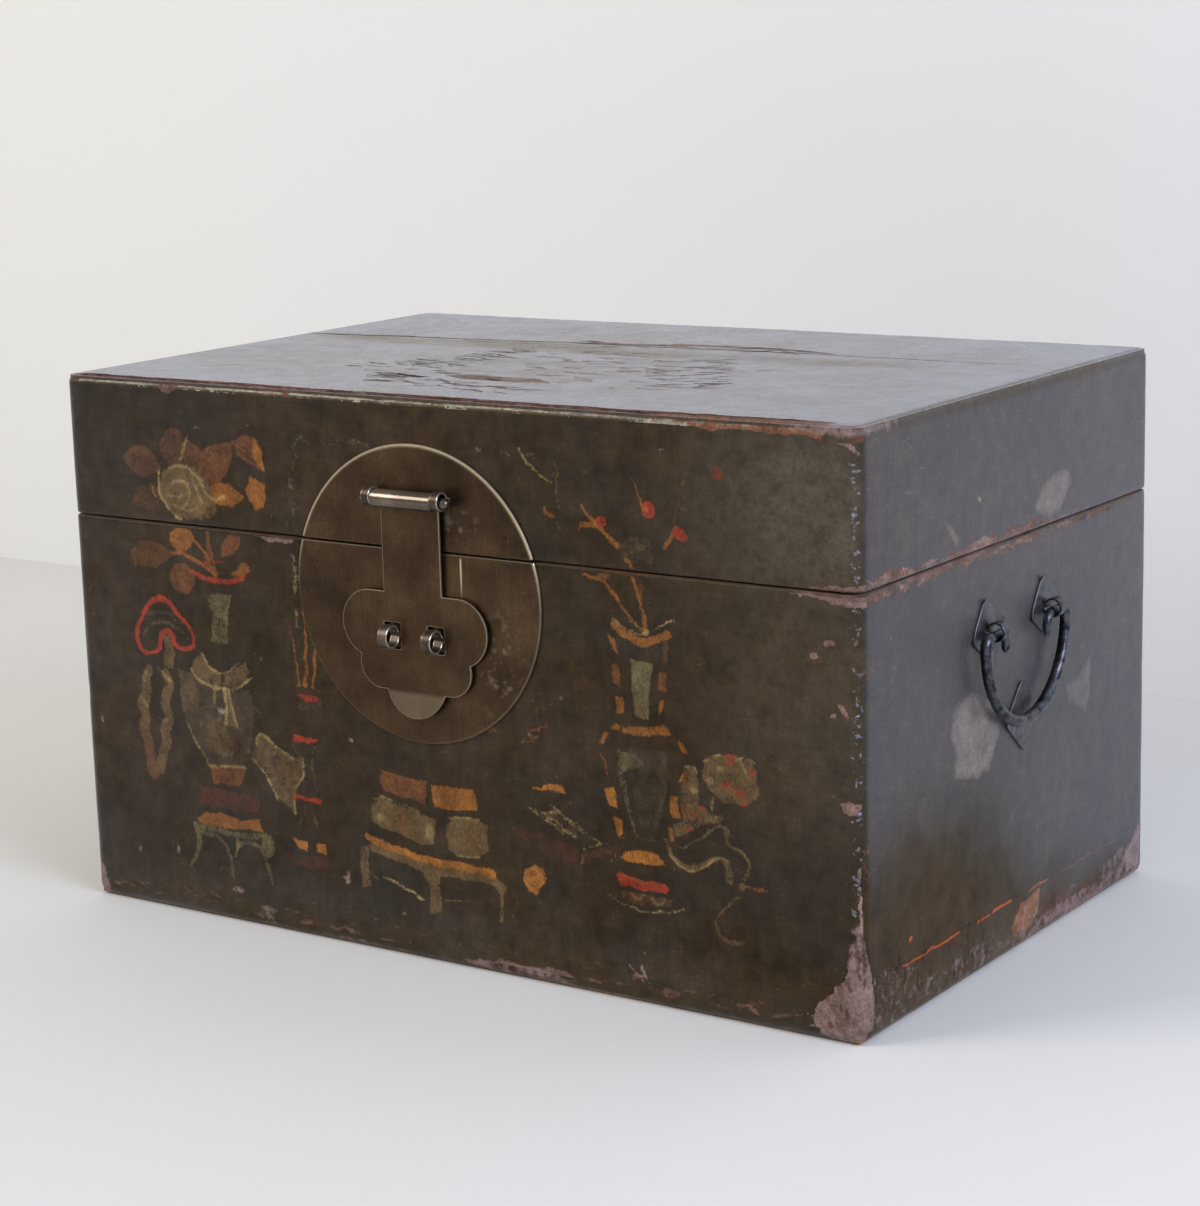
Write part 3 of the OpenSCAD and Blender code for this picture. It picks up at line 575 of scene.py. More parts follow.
def roundedPanel(halfX, halfY, radius):
    # a grid whose corner squares are rounded: a point (a, b) of the unit square goes to
    # (a sqrt(1 - b²/2), b sqrt(1 - a²/2))
    def lines(half):
        inner = np.linspace(radius - half, half - radius, int(round(2 * (half - radius) / trunk["cell"])) + 1)
        arc = radius * np.arange(1, trunk["cornerCells"] + 1) / trunk["cornerCells"]
        return np.r_[radius - half - arc[::-1], inner, half - radius + arc]
    x, y = np.meshgrid(lines(halfX), lines(halfY), indexing="ij")
    coreX = np.clip(x, radius - halfX, halfX - radius)
    coreY = np.clip(y, radius - halfY, halfY - radius)
    a, b = (x - coreX) / radius, (y - coreY) / radius
    return np.stack([a * np.sqrt(1 - b * b / 2), b * np.sqrt(1 - a * a / 2)], -1), np.stack([coreX, coreY], -1)


def panelBorder(countX, countY):
    # numbers of the grid points round the border, anticlockwise seen from above
    i, j = np.arange(countX), np.arange(countY)
    return np.r_[i[:-1] * countY, (countX - 1) * countY + j[:-1],
                 i[:0:-1] * countY + countY - 1, j[:0:-1]]


def arc(centre, radius, startDeg, endDeg, steps):
    angles = np.radians(np.linspace(startDeg, endDeg, steps))
    return np.stack([centre[0] + radius * np.cos(angles), centre[1] + radius * np.sin(angles)], 1)


def wallRows(radiusOut, zHigh, zLow):
    count = int(round((zHigh - zLow) / trunk["cell"])) + 1
    return np.stack([np.full(count, radiusOut), np.linspace(zHigh, zLow, count)], 1)


def carriedRound(core, normal, profile):
    # each profile point (d, z) becomes a ring: the core rectangle's point plus d times its outward normal, at height z
    flat = core[None] + profile[:, None, :1] * normal[None]
    height = np.broadcast_to(profile[:, None, 1:], flat.shape[:2] + (1,))
    return np.concatenate([flat, height], -1)


def makeLidSkin():
    corner, brow, lip, skin = (trunk[k] for k in ("cornerRadius", "browRadius", "lipRadius", "skin"))
    unit, core = roundedPanel(trunk["halfX"] - brow, trunk["halfY"] - brow, corner - brow)
    flat = core + (corner - brow) * unit
    top = np.concatenate([flat, np.full(flat.shape[:2] + (1,), trunk["lidHigh"])], -1).reshape(-1, 3)
    border = panelBorder(*flat.shape[:2])
    ringCore, ringNormal = core.reshape(-1, 2)[border], unit.reshape(-1, 2)[border]
    browArc = arc((corner - brow, trunk["lidHigh"] - brow), brow, 90, 0, 6)[1:]
    lipArc = arc((corner - lip, trunk["lidLow"] + lip), lip, 0, -90, 4)
    wall = wallRows(corner, trunk["lidHigh"] - brow, trunk["lidLow"] + lip)[1:-1]
    inside = np.array([(corner - skin, trunk["lidLow"]), (corner - skin, trunk["lidHigh"] - skin)])
    profile = np.concatenate([browArc, wall, lipArc, inside])
    rings = carriedRound(ringCore, ringNormal, profile)
    outer = len(profile) - len(inside)
    # outward direction: straight up on the top, along the brow's radius, then level
    lean = np.concatenate([np.radians(np.linspace(90, 0, 6))[1:], np.zeros(len(wall) + len(lipArc))])
    out = np.concatenate([ringNormal[None] * np.cos(lean)[:, None, None],
                          np.broadcast_to(np.sin(lean)[:, None, None], (outer, len(border), 1))], -1)
    top = top + np.array([0, 0, 1.0]) * surfaceOffset(top)[:, None]
    moved = rings[:outer].reshape(-1, 3)
    moved = moved + out.reshape(-1, 3) * surfaceOffset(moved)[:, None]
    points = np.concatenate([top, moved, rings[outer:].reshape(-1, 3)])
    count = len(border)
    columns = flat.shape[1]
    start = len(top)
    ring = np.arange(count)
    joint = np.stack([border, start + ring, start + (ring + 1) % count, np.roll(border, -1)], 1)
    sides = gridFaces(len(profile), count, closeColumns=True) + start
    ceiling = (start + (len(profile) - 1) * count + ring)[::-1].tolist()
    faces = [*gridFaces(flat.shape[0], columns).tolist(), *joint.tolist(), *sides.tolist(), ceiling]
    return makePiece("lid_lacquer", points, faces, skinLacquer, "lid", ["lid_skin"],
                     lacquerValues(points))


def makeCaseSkin():
    corner, foot, lip, skin = (trunk[k] for k in ("cornerRadius", "footRadius", "lipRadius", "skin"))
    unit, core = roundedPanel(trunk["halfX"], trunk["halfY"], corner)
    border = panelBorder(*unit.shape[:2])
    ringCore, ringNormal = core.reshape(-1, 2)[border], unit.reshape(-1, 2)[border]
    lipArc = arc((corner - lip, trunk["caseHigh"] - lip), lip, 90, 0, 4)
    wall = wallRows(corner, trunk["caseHigh"] - lip, foot)[1:-1]
    drop = math.degrees(math.asin((foot - trunk["caseLow"]) / foot))
    dropIn = math.degrees(math.asin((foot - trunk["caseLow"]) / (foot - skin)))
    footOut = arc((corner - foot, foot), foot, 0, -drop, 5)
    footIn = arc((corner - foot, foot), foot - skin, -dropIn, 0, 4)
    inside = np.array([(corner - skin, trunk["caseHigh"])])
    profile = np.concatenate([lipArc, wall, footOut, footIn, inside])
    rings = carriedRound(ringCore, ringNormal, profile)
    outer = len(lipArc) + len(wall) + len(footOut)
    moved = rings[:outer].reshape(-1, 3)
    out = np.concatenate([ringNormal, np.zeros((len(border), 1))], 1)
    out = np.broadcast_to(out[None], (outer,) + out.shape).reshape(-1, 3)
    moved = moved + out * surfaceOffset(moved)[:, None]
    points = np.concatenate([moved, rings[outer:].reshape(-1, 3)])
    faces = gridFaces(len(profile), len(border), closeRows=True, closeColumns=True).tolist()
    return makePiece("case_lacquer", points, faces, skinLacquer, "case", ["case_skin"],
                     lacquerValues(points))


lidSkin = makeLidSkin()
caseSkin = makeCaseSkin()
print("lacquer skins:", len(lidSkin.data.polygons), "and", len(caseSkin.data.polygons), "faces")


# Painted ornament: worn brush work of flowers, vases, books on a stand, and ribbons, drawn mark by mark in mm

inks = {
    "bright": "#925d27", "ochre": "#7c4e23", "rust": "#633e25", "brown": "#533722", "olive": "#5f4c31",
    "sage": "#5f573c", "dusk": "#40362a", "red": "#8c3222", "ox": "#4a291b", "cream": "#968254", "fleck": "#8a776f",
    "dark": "#17120d", "stain": "#7e7065", "ashPink": "#7f6961", "redBrown": "#4a2a1e", "orangeWood": "#b0562a",
    "woodBrown": "#85583a", "clay": "#6d544b", "black": "#0c0a08", "scratch": "#6a6156", "glint": "#8f929d",
    "chip": "#7b6257", "mist": "#68696f", "wearBrown": "#74503c", "topMark": "#55493f", "topBrown": "#7d6a62",
    "chalk": "#938e80",
}
# The trunk's faces: a point on each, the ways u and v run and the way out, then its least and most u and v where it is
# flat. A last entry rolls the panel over an edge: across (0) or up (1) it, from where, and at what radius.
caseReach, lidReach = (7.5, trunk["caseHigh"] - 0.9), (trunk["lidLow"] + 0.9, trunk["lidHigh"] - 6.4)
halfX, halfY, cornerRadius, browRadius = (trunk[k] for k in ("halfX", "halfY", "cornerRadius", "browRadius"))
front = ((0, -halfY, 0), (1, 0, 0), (0, 0, 1), (0, -1, 0))
right = ((halfX, 0, 0), (0, 1, 0), (0, 0, 1), (1, 0, 0))
left = ((-halfX, 0, 0), (0, -1, 0), (0, 0, 1), (-1, 0, 0))
cornerRoll, browRoll = (0, halfX - cornerRadius, cornerRadius), (1, trunk["lidHigh"] - browRadius, browRadius)
panels = {
    "caseFront": (*front, (-271, caseReach[0]), (298, caseReach[1]), cornerRoll),
    "lidFront": (*front, (-271, lidReach[0]), (298, lidReach[1] - 2), cornerRoll),
    "lidBrow": (*front, (-270, 318), (270, 356), browRoll),
    "caseRight": (*right, (-175, caseReach[0]), (175, caseReach[1]), None),
    "lidRight": (*right, (-175, lidReach[0]), (175, lidReach[1]), None),
    "caseLeft": (*left, (-175, caseReach[0]), (175, caseReach[1]), None),
    "lidTop": ((0, 0, trunk["lidHigh"]), (1, 0, 0), (0, 1, 0), (0, 0, 1), (-273, -177), (273, 177), None),
}


def onPanel(panel, u, v):
    # The point and the way out at (u, v). Past the start of a roll the length goes round a quarter circle, r sin(s / r)
    # on and r - r cos(s / r) in, and then straight back.
    origin, across, up, out = (np.array(part, float) for part in panel[:4])
    if panel[6] is None:
        base = origin + u[..., None] * across + v[..., None] * up
        return base, np.broadcast_to(out, base.shape)
    axis, start, radius = panel[6]
    way, other = (across, up) if axis == 0 else (up, across)
    length, along = (u, v) if axis == 0 else (v, u)
    turn = np.clip((length - start) / radius, 0, math.pi / 2)
    ahead = np.minimum(length, start) + radius * np.sin(turn)
    inward = radius * (1 - np.cos(turn)) + np.maximum(length - start - radius * math.pi / 2, 0)
    base = origin + ahead[..., None] * way + along[..., None] * other - inward[..., None] * out
    return base, np.cos(turn)[..., None] * out + np.sin(turn)[..., None] * way


def segmentGap(u, v, points, widths):
    # distance to the nearest leg of a line, less its half width there
    points = np.asarray(points, float)
    if len(points) > 2:
        points = softened(points)
    ends = np.broadcast_to(widths, 2) / 2
    run = np.r_[0, np.cumsum(np.linalg.norm(np.diff(points, axis=0), axis=1))]
    gap = np.full(u.shape, 99.0)
    for (a, b), near, far in zip(zip(points[:-1], points[1:]), run[:-1] / run[-1], run[1:] / run[-1]):
        leg = b - a
        t = np.clip(((u - a[0]) * leg[0] + (v - a[1]) * leg[1]) / (leg @ leg), 0, 1)
        half = ends[0] + (ends[1] - ends[0]) * (near + (far - near) * t)
        gap = np.minimum(gap, np.hypot(u - a[0] - t * leg[0], v - a[1] - t * leg[1]) - half)
    return gap


def leafGap(u, v, points, width):
    # a leaf's half width goes as the sine of the way along it, to the power 0.7
    a, b = np.asarray(points, float)
    length = np.linalg.norm(b - a)
    way = (b - a) / length
    t = ((u - a[0]) * way[0] + (v - a[1]) * way[1]) / length
    side = np.abs((v - a[1]) * way[0] - (u - a[0]) * way[1])
    beyond = np.maximum(np.abs(t - 0.5) - 0.5, 0) * length
    outside = side - width / 2 * np.sin(np.pi * np.clip(t, 0, 1)) ** 0.7
    return np.hypot(np.maximum(outside, 0), beyond) - 0.01 + np.minimum(outside, 0)


def spotGap(u, v, points, width):
    # an ellipse: how far out in radii, less 1, times its smaller radius
    a, b = np.broadcast_to(width, 2) / 2
    x, z = points[0]
    return (np.hypot((u - x) / a, (v - z) / b) - 1) * min(a, b)


def patchGap(u, v, points, rounding):
    # a polygon's signed distance: to its nearest side, below zero where a ray crosses its sides an odd number of times
    points = np.asarray(points, float)
    gap = np.full(u.shape, 99.0)
    inside = np.zeros(u.shape, bool)
    for a, b in zip(points, np.roll(points, -1, 0)):
        leg = b - a
        t = np.clip(((u - a[0]) * leg[0] + (v - a[1]) * leg[1]) / (leg @ leg), 0, 1)
        gap = np.minimum(gap, np.hypot(u - a[0] - t * leg[0], v - a[1] - t * leg[1]))
        if a[1] != b[1]:
            crosses = (a[1] > v) != (b[1] > v)
            inside ^= crosses & (u < a[0] + (v - a[1]) * leg[0] / leg[1])
    gap = np.where(inside, -gap, gap)
    return np.where(gap > -rounding, gap + 0.25 * rounding, gap)


def cloudGap(u, v, points, rounding):
    # a patch whose edge is four times as soft
    return patchGap(u, v, points, rounding) / 4


def markMaker(gap):
    # a way to write down marks of one shape
    def mark(ink, strength, width, *places):
        return ink, strength, gap, width, list(zip(places[::2], places[1::2]))
    return mark


line, leaf, spot, patch, cloud = (markMaker(gap) for gap in (segmentGap, leafGap, spotGap, patchGap, cloudGap))


def strewn(ink, strength, path, spread, count, length, width, seed, turn=0.0):
    # short strokes strewn along a path: each middle is a random way along it and moved aside by up to the spread, and
    # each runs along the path, turned by the given angle and up to 25 degrees more
    random = np.random.RandomState(seed)
    path = np.array(path, float)
    run = np.r_[0, np.cumsum(np.linalg.norm(np.diff(path, axis=0), axis=1))]
    at = random.uniform(0, run[-1], count)
    leg = np.clip(np.searchsorted(run, at) - 1, 0, len(path) - 2)
    way = np.diff(path, axis=0)[leg]
    way = way / np.linalg.norm(way, axis=1)[:, None]
    aside = np.stack([-way[:, 1], way[:, 0]], 1) * random.uniform(-spread, spread, count)[:, None]
    centre = path[leg] + way * (at - run[leg])[:, None] + aside
    angle = np.radians(turn + random.uniform(-25, 25, count))
    cosine, sine = np.cos(angle), np.sin(angle)
    half = random.uniform(0.25, 0.75, count)[:, None] * length * np.stack(
        [way[:, 0] * cosine - way[:, 1] * sine, way[:, 0] * sine + way[:, 1] * cosine], 1)
    widths = width * random.uniform(0.6, 1.3, count)
    force = strength * random.uniform(0.6, 1.1, count)
    return [line(ink, f, (w, 0.4 * w), *(m - h), *(m + h)) for f, w, m, h in zip(force, widths, centre, half)]


# Each painting: its panel, its material, and its marks from the first laid to the last. A mark has its ink, its
# strength, its full width (or a line's widths at both ends, a spot's two widths, a patch's or cloud's rounding), then
# u and v of its points.
ornament = {
    "painted_flower_on_lid": ("lidFront", paintedLacquer, [
        leaf("brown", 0.8, 19, -202, 282, -233, 287), leaf("brown", 0.62, 16, -202, 267, -228, 258),
        leaf("brown", 0.82, 23, -190, 280, -190, 308), leaf("brown", 0.85, 16, -171, 278, -181, 300),
        leaf("rust", 0.85, 22, -172, 275, -145, 299), leaf("ochre", 0.92, 14, -169, 269, -137, 268),
        spot("olive", 0.9, (42, 34), -184, 268), spot("olive", 0.7, (22, 16), -170, 259),
        patch("rust", 0.95, 1, -146, 301, -133, 307, -124, 304, -120, 296, -120, 284, -131, 287, -141, 293),
        patch("bright", 0.95, 1, -127, 304, -121, 298, -120, 284, -125, 286, -129, 294),
        patch("ochre", 1, 1.5, -132, 282, -125, 280, -120, 277, -119, 268, -122, 263, -128, 261, -134, 266,
            -136, 272),
        line("dark", 0.7, 0.9, -143, 298, -132, 293, -123, 286), line("dark", 0.6, 0.8, -138, 300, -130, 295),
        line("dark", 0.5, 0.8, -163, 293, -168, 280),
        line("cream", 0.9, 1.5, -203, 280, -206, 270, -203, 262, -196, 254, -188, 250),
        line("cream", 0.85, 1.3, -195, 281, -187, 284, -178, 282, -169, 275),
        line("cream", 0.75, 1.2, -194, 273, -187, 275, -180, 271, -181, 262, -186, 258),
        line("cream", 0.8, 1.3, -172, 276, -168, 268, -160, 265, -152, 267),
        line("cream", 0.7, 1.1, -178, 279, -174, 270, -170, 262),
        line("cream", 0.6, 1, -198, 266, -190, 264, -184, 267),
        line("cream", 0.6, 1, -192, 259, -183, 256, -174, 258),
        line("cream", 0.7, 1.2, -180, 303, -183, 293, -186, 288), line("cream", 0.6, 1, -212, 272, -208, 264),
    ]),
    "painted_flower_on_case": ("caseFront", paintedLacquer, [
        spot("ochre", 0.95, (19, 15), -189, 238.5),
        patch("brown", 0.85, 3, -192, 230, -206, 235, -221, 237, -233, 228, -229, 218, -214, 217, -203, 222),
        spot("rust", 0.82, (21, 19), -190, 214.5),
        patch("rust", 1, 2, -159, 228, -157, 238, -152, 244, -141, 244, -141, 238, -147, 232),
        patch("ochre", 0.9, 1.5, -153, 219, -142, 218, -135, 223, -133, 227, -141, 229, -147, 223),
        line("ochre", 0.95, (2.6, 3), -196, 230, -184, 229, -173, 224, -163, 218),
        line("ochre", 1, (2.6, 3.2), -181, 241, -171, 233, -167, 226, -163, 219),
        line("rust", 1, (3.6, 3), -167, 244, -167, 234, -162, 219), line("bright", 0.8, 1, -172, 229, -165, 219),
        line("red", 0.7, 1.4, -177, 223, -167, 226, -157, 226.5),
        line("red", 1, 3.2, -181, 219, -173, 216, -162, 214.3, -150, 215.3, -141, 218),
        line("dark", 0.5, 1, -195, 240, -186, 237), line("dark", 0.5, 1, -155, 240, -148, 235),
    ]),
    "painted_ring_and_tassels": ("caseFront", paintedLacquer, [
        line("red", 1, 3.5, -222, 164.5, -229, 167, -230.5, 175, -227, 184, -222, 192, -216, 198, -209, 200.5,
            -202, 198, -196, 192, -189, 187, -184, 181, -182, 175, -186, 170.5, -194, 169.5, -199, 172, -200, 177,
            -203, 180, -208, 179.5, -211, 175, -212, 168, -217, 165, -223, 164.5),
        line("olive", 0.55, 3, -224, 176, -217, 184, -207, 186, -196, 183, -188, 177),
        line("dusk", 0.7, 3, -220, 189, -209, 192, -199, 190), line("olive", 0.5, 2, -221, 170, -216, 172),
        patch("olive", 0.75, 1, -209, 178, -203, 178, -199, 166, -201, 156, -211, 156, -208, 167),
        line("olive", 0.85, (8, 9), -222, 153, -226, 146, -224, 139, -230, 131, -226, 124, -231, 116, -226, 108,
            -225, 98, -223, 88),
        line("olive", 0.85, (8, 8), -208, 152, -205, 145, -209, 138, -210, 131, -206, 124, -213, 117, -210, 109,
            -214, 102, -217, 91),
        line("brown", 0.7, (5, 12), -228, 118, -226, 104, -223, 90), line("cream", 0.75, 2, -225, 152, -226, 146),
        line("cream", 0.75, 2, -214, 155, -209, 151, -205, 148),
        line("cream", 0.55, 2, -216, 124, -211, 122, -207, 125), line("cream", 0.45, 2, -229, 134, -225, 130),
    ]),
    "painted_urn": ("caseFront", paintedLacquer, [
        patch("sage", 0.75, 1, -171, 207, -151, 208, -155, 196, -155, 176, -170, 176, -168, 195),
        line("cream", 0.5, 1.2, -174, 210, -170, 203, -169, 195),
        line("cream", 0.5, 1.2, -150, 209, -155, 197, -155, 190),
        patch("dusk", 0.85, 2, -198, 158, -188, 155, -164, 147, -140, 150, -136, 135, -142, 112, -148, 99, -177, 98,
            -186, 112, -194, 126, -197, 140),
        patch("olive", 0.6, 3, -198, 158, -186, 155, -180, 142, -183, 130, -196, 129),
        patch("olive", 0.4, 3, -185, 128, -160, 124, -150, 112, -160, 104, -178, 108),
        patch("olive", 0.85, 1.5, -187, 157, -185, 165, -177, 169, -171, 161, -163, 157, -163, 149, -176, 149,
            -183, 152),
        patch("olive", 0.75, 1.5, -163, 149, -160, 157, -151, 162, -143, 168, -139, 163, -140, 155, -148, 150),
        line("cream", 0.95, 1.6, -187, 158, -184, 153, -173, 149, -163, 147.5, -152, 149, -143, 153, -138, 158),
        line("cream", 0.75, 1.5, -177, 169, -172, 161, -163, 157, -155, 160, -148, 166),
        patch("sage", 0.7, 1, -161, 147, -157, 146, -152, 125, -161, 125),
        line("cream", 0.85, (2.4, 1.4), -161, 148, -160, 137, -161, 126),
        line("cream", 0.7, 1.2, -158, 147, -155, 137, -152, 126), line("cream", 0.6, (2, 1), -168, 149, -170, 139),
        line("olive", 0.7, 1.6, -177, 131, -172, 126, -165, 128, -166, 134, -172, 137, -178, 134),
        spot("fleck", 1, (5, 3), -164, 134), line("cream", 0.7, 1.2, -194, 125, -187, 113, -178, 100),
        line("cream", 0.4, 1.2, -142, 113, -147, 99),
        patch("rust", 0.9, 1, -177, 98, -146, 100, -149, 90, -153, 87, -174, 86, -176, 92),
        line("cream", 0.85, 1.2, -178, 97.5, -162, 99, -146, 100),
        patch("ox", 0.85, 1.5, -187, 85, -136, 83, -137, 72, -186, 71),
        patch("ochre", 0.9, 1.5, -191, 62, -182, 68, -168, 69, -152, 67, -138, 69, -134, 61, -160, 59, -180, 59),
        line("sage", 0.75, 4, -190, 59, -175, 57, -160, 56, -146, 57, -134, 59),
        line("sage", 0.75, (5, 3), -190, 58, -188, 49, -190, 39, -197, 31),
        line("sage", 0.7, 3.4, -188, 55, -181, 53.5, -172, 53, -165, 48, -161, 39, -162, 30),
        line("cream", 0.6, 2.4, -156, 53, -158, 42), line("sage", 0.5, 2.6, -172, 32, -166, 34, -160, 28),
        line("sage", 0.7, 3.4, -156, 50, -150, 53, -143, 53, -137, 50, -133, 42, -131, 30),
        spot("sage", 0.75, (11, 15), -132, 53),
    ]),
    "painted_scroll_and_brush_pot": ("caseFront", paintedLacquer, [
        patch("olive", 0.72, 2, -138, 118, -134, 125, -121, 118, -110, 112, -102, 113, -100, 102, -106, 93,
            -110, 77, -122, 84, -130, 97, -140, 106),
        spot("brown", 0.45, (16, 13), -112, 105),
        line("cream", 0.85, 1.5, -138, 117, -134, 125, -122, 118, -109, 111),
        line("cream", 0.85, 1.5, -141, 107, -132, 100, -126, 91, -122, 83),
        line("cream", 0.7, 1.4, -101, 112, -101, 102, -107, 93), line("cream", 0.8, 2, -109, 84, -109, 77),
        line("cream", 0.45, 1, -122, 117, -124, 111), line("olive", 0.6, 2, -137, 140, -132, 136),
        line("ochre", 0.85, (1.5, 2), -104, 186, -103, 172, -101, 157), spot("ox", 0.9, (4, 8), -105.5, 190),
        line("ochre", 1, (1.2, 2.8), -96, 203, -94, 192, -94.5, 176, -96, 157),
        line("ochre", 1, (3.2, 2), -87, 180, -89, 168, -91, 156),
        patch("red", 0.75, 1, -107, 153, -98, 152, -86, 152, -86, 147, -97, 147),
        line("ochre", 0.9, 1.1, -105, 157, -95, 158.3, -86, 156, -84.5, 152, -85, 147),
        spot("sage", 0.4, (13, 5), -100, 143.5), patch("red", 1, 1, -108, 127, -87, 126, -91, 122.5, -108, 121),
        line("sage", 0.6, 1.6, -108, 120, -102, 112), line("sage", 0.6, 1.6, -91, 120, -95, 110, -93, 99, -90, 92),
        patch("red", 1, 1, -111, 89.5, -88, 88.5, -88, 85, -110, 86),
        line("sage", 0.6, 1.6, -101, 84, -101, 77, -106, 71), line("sage", 0.6, 1.6, -95, 84, -94, 76, -90, 68),
        patch("bright", 1, 0.8, -112, 61.5, -100, 61, -100, 54.5, -108, 55),
        patch("bright", 1, 0.8, -94, 61, -86, 61.5, -85.5, 54, -94, 54),
        patch("ox", 0.6, 3, -120, 53, -85, 54, -84, 43, -118, 42),
    ]),
    "painted_books_on_stand": ("caseFront", paintedLacquer, [
        patch("rust", 1, 1.5, -43, 110, -38, 112, -8, 110, -9, 95, -28, 98, -42, 100),
        patch("ochre", 1, 1.5, -5, 109.5, 26, 110, 29, 105, 28, 97.5, -4, 94),
        line("bright", 0.8, 1.5, -4.5, 108, -4, 95, 27, 98.5), line("ochre", 0.8, 1.2, -41, 112, -9, 110),
        patch("olive", 1, 4, -52, 92, -44, 96.5, -15, 92.5, -2, 88, -1, 78, -4, 71, -16, 70.5, -35, 75.5, -51, 79),
        patch("olive", 1, 2.5, 5, 87, 10, 91.5, 29, 93, 36, 90, 36, 74, 28, 69, 12, 68, 5, 71),
        line("cream", 0.7, 1.2, 6, 90.5, 29, 93), line("cream", 0.8, 1.2, 12, 68, 28, 69.5),
        line("cream", 0.6, 1.2, -51, 94, -42, 97, -14, 92), spot("rust", 0.45, (13, 10), -27, 84),
        spot("cream", 0.45, (7, 5), -44, 84), spot("cream", 0.45, (6, 9), -7, 80),
        spot("rust", 0.4, (9, 6), 20, 80),
        line("olive", 0.9, 6, -50, 64.5, -30, 61, -10, 57, 12, 57, 38, 57.5, 45, 54),
        line("bright", 1, (4.2, 5.2), -54, 70, -40, 67, -20, 63.5, 0, 62, 25, 62.5, 38, 61),
        patch("olive", 0.9, 1.5, -61, 63, -53, 67, -53, 40, -60, 37),
        patch("olive", 0.95, 2, -15, 57, 2, 57, -1, 48, 0, 31, -10, 29, -9, 45),
        patch("olive", 0.85, 2, 37, 58, 47, 56, 45, 48, 45, 32, 40, 33, 41, 46),
        line("cream", 0.85, (1.2, 2), -43, 47, -28, 43.5, -14, 37.5),
        line("cream", 0.6, 1.6, 2, 39.5, 14, 41, 30, 42), line("olive", 0.6, 2, -53, 48, -47, 45),
        patch("bright", 1, 2, 60, 69, 67, 71.5, 73, 70, 77, 64, 73, 59, 70, 52, 64, 54, 58, 60),
        line("dark", 0.7, 1, 70, 71, 75, 63), line("dark", 0.6, 0.9, 61, 62, 66, 58),
        spot("rust", 0.8, (5, 4), 66, 66),
    ]),
    "painted_things_between": ("caseFront", paintedLacquer, [
        patch("bright", 0.95, 0.6, 67, 118, 75, 118.5, 78, 121.5, 89, 121, 93, 115.5, 86, 116.5, 69, 115.5),
        line("cream", 0.4, 1, 84, 125, 96, 126), patch("olive", 0.45, 1, 70, 104.5, 84, 104, 103, 95, 96, 91),
        line("cream", 0.8, 1.1, 65, 105, 92, 91), line("cream", 0.75, 1.1, 69, 105, 97, 91),
        line("cream", 0.75, 1.1, 80, 108, 112, 91), line("cream", 0.7, 1.1, 86, 104, 108, 91),
        line("cream", 0.6, 1, 74, 103, 86, 104, 95, 112), line("cream", 0.6, 1, 90, 102, 98, 100),
        line("cream", 0.6, 1.2, 101, 85, 113, 90, 130, 96), line("cream", 0.5, 1, 102, 86, 100, 73),
        patch("ox", 0.6, 3, 48, 87, 60, 93, 72, 92, 88, 89, 101, 84, 98, 70, 90, 74, 70, 80),
        patch("brown", 0.6, 3, 101, 84, 113, 89, 130, 95, 132, 88, 108, 80, 100, 74),
        patch("rust", 0.6, 1, 61, 141, 66, 149, 75, 147, 70, 143),
        line("red", 0.8, 1.6, 65, 149, 72, 152, 79, 153.5), line("cream", 0.6, 1, 61, 141, 66, 149, 74, 147),
        line("ochre", 0.8, 1.6, 72, 163, 74, 150), line("sage", 0.6, 1.4, 69, 168, 75, 173, 79, 174),
        line("sage", 0.55, 1.4, 75, 172, 78, 163, 79, 155), line("sage", 0.5, 1.2, 84, 168, 80, 164),
        spot("rust", 0.8, (6, 4), 41, 147), spot("sage", 0.7, (3, 3), 89, 171),
    ]),
    "painted_branches_on_lid": ("lidFront", paintedLacquer, [
        line("cream", 0.8, (1.4, 2), 66, 311, 69, 305, 77, 299, 88, 292.5),
        line("cream", 0.35, 1, 68, 307, 80, 309, 89, 304, 92, 297, 91, 291), line("rust", 0.6, 2, 91, 299, 91, 294),
        line("ochre", 0.7, 3, 82, 277, 88, 274),
        patch("olive", 0.35, 4, 128, 262, 134, 268, 150, 269, 160, 263, 152, 250, 136, 251),
        line("ochre", 1, (2.6, 3.4), 107, 281.5, 114, 274, 121, 268, 130, 261.5),
        line("ochre", 0.95, 2.8, 107, 271, 119, 271), line("ochre", 0.85, (1.4, 2.2), 141, 299, 144, 292, 147, 284),
        line("cream", 0.6, 1.2, 148, 279, 150, 273), line("rust", 0.6, 1.4, 180, 311, 174, 301),
        spot("olive", 0.8, (3, 4), 173.5, 299), line("rust", 0.6, 1.5, 171, 292, 168, 278),
        line("ochre", 0.8, (2.2, 2.8), 169, 275, 160.5, 262.5), line("olive", 0.4, 3, 176, 282, 170, 288),
        spot("red", 0.85, (7.5, 7.5), 120, 274), spot("red", 0.9, (9, 10), 150.5, 283),
        spot("red", 0.85, (9.5, 7.5), 171, 271), spot("red", 0.62, (9, 8), 195, 306),
        spot("red", 0.5, (3.5, 3.5), 105, 269), spot("bright", 0.6, (2.2, 2.2), 149, 283),
        line("ochre", 0.85, 2.4, 135.5, 254, 140, 249.5),
    ]),
    "painted_vase": ("caseFront", paintedLacquer, [
        line("ochre", 1, (2, 2.8), 108, 243.5, 118, 242, 125, 237, 130, 231),
        spot("rust", 0.85, (9, 4), 121, 243.5), line("ochre", 0.9, (2, 1.6), 130, 230, 138, 222, 144, 216),
        line("ochre", 1, (2.2, 3), 140, 245, 143, 236, 146, 226, 147, 215),
        patch("rust", 0.5, 1, 142, 243, 148, 242, 145, 233), line("cream", 0.5, 1, 123, 229, 141, 217),
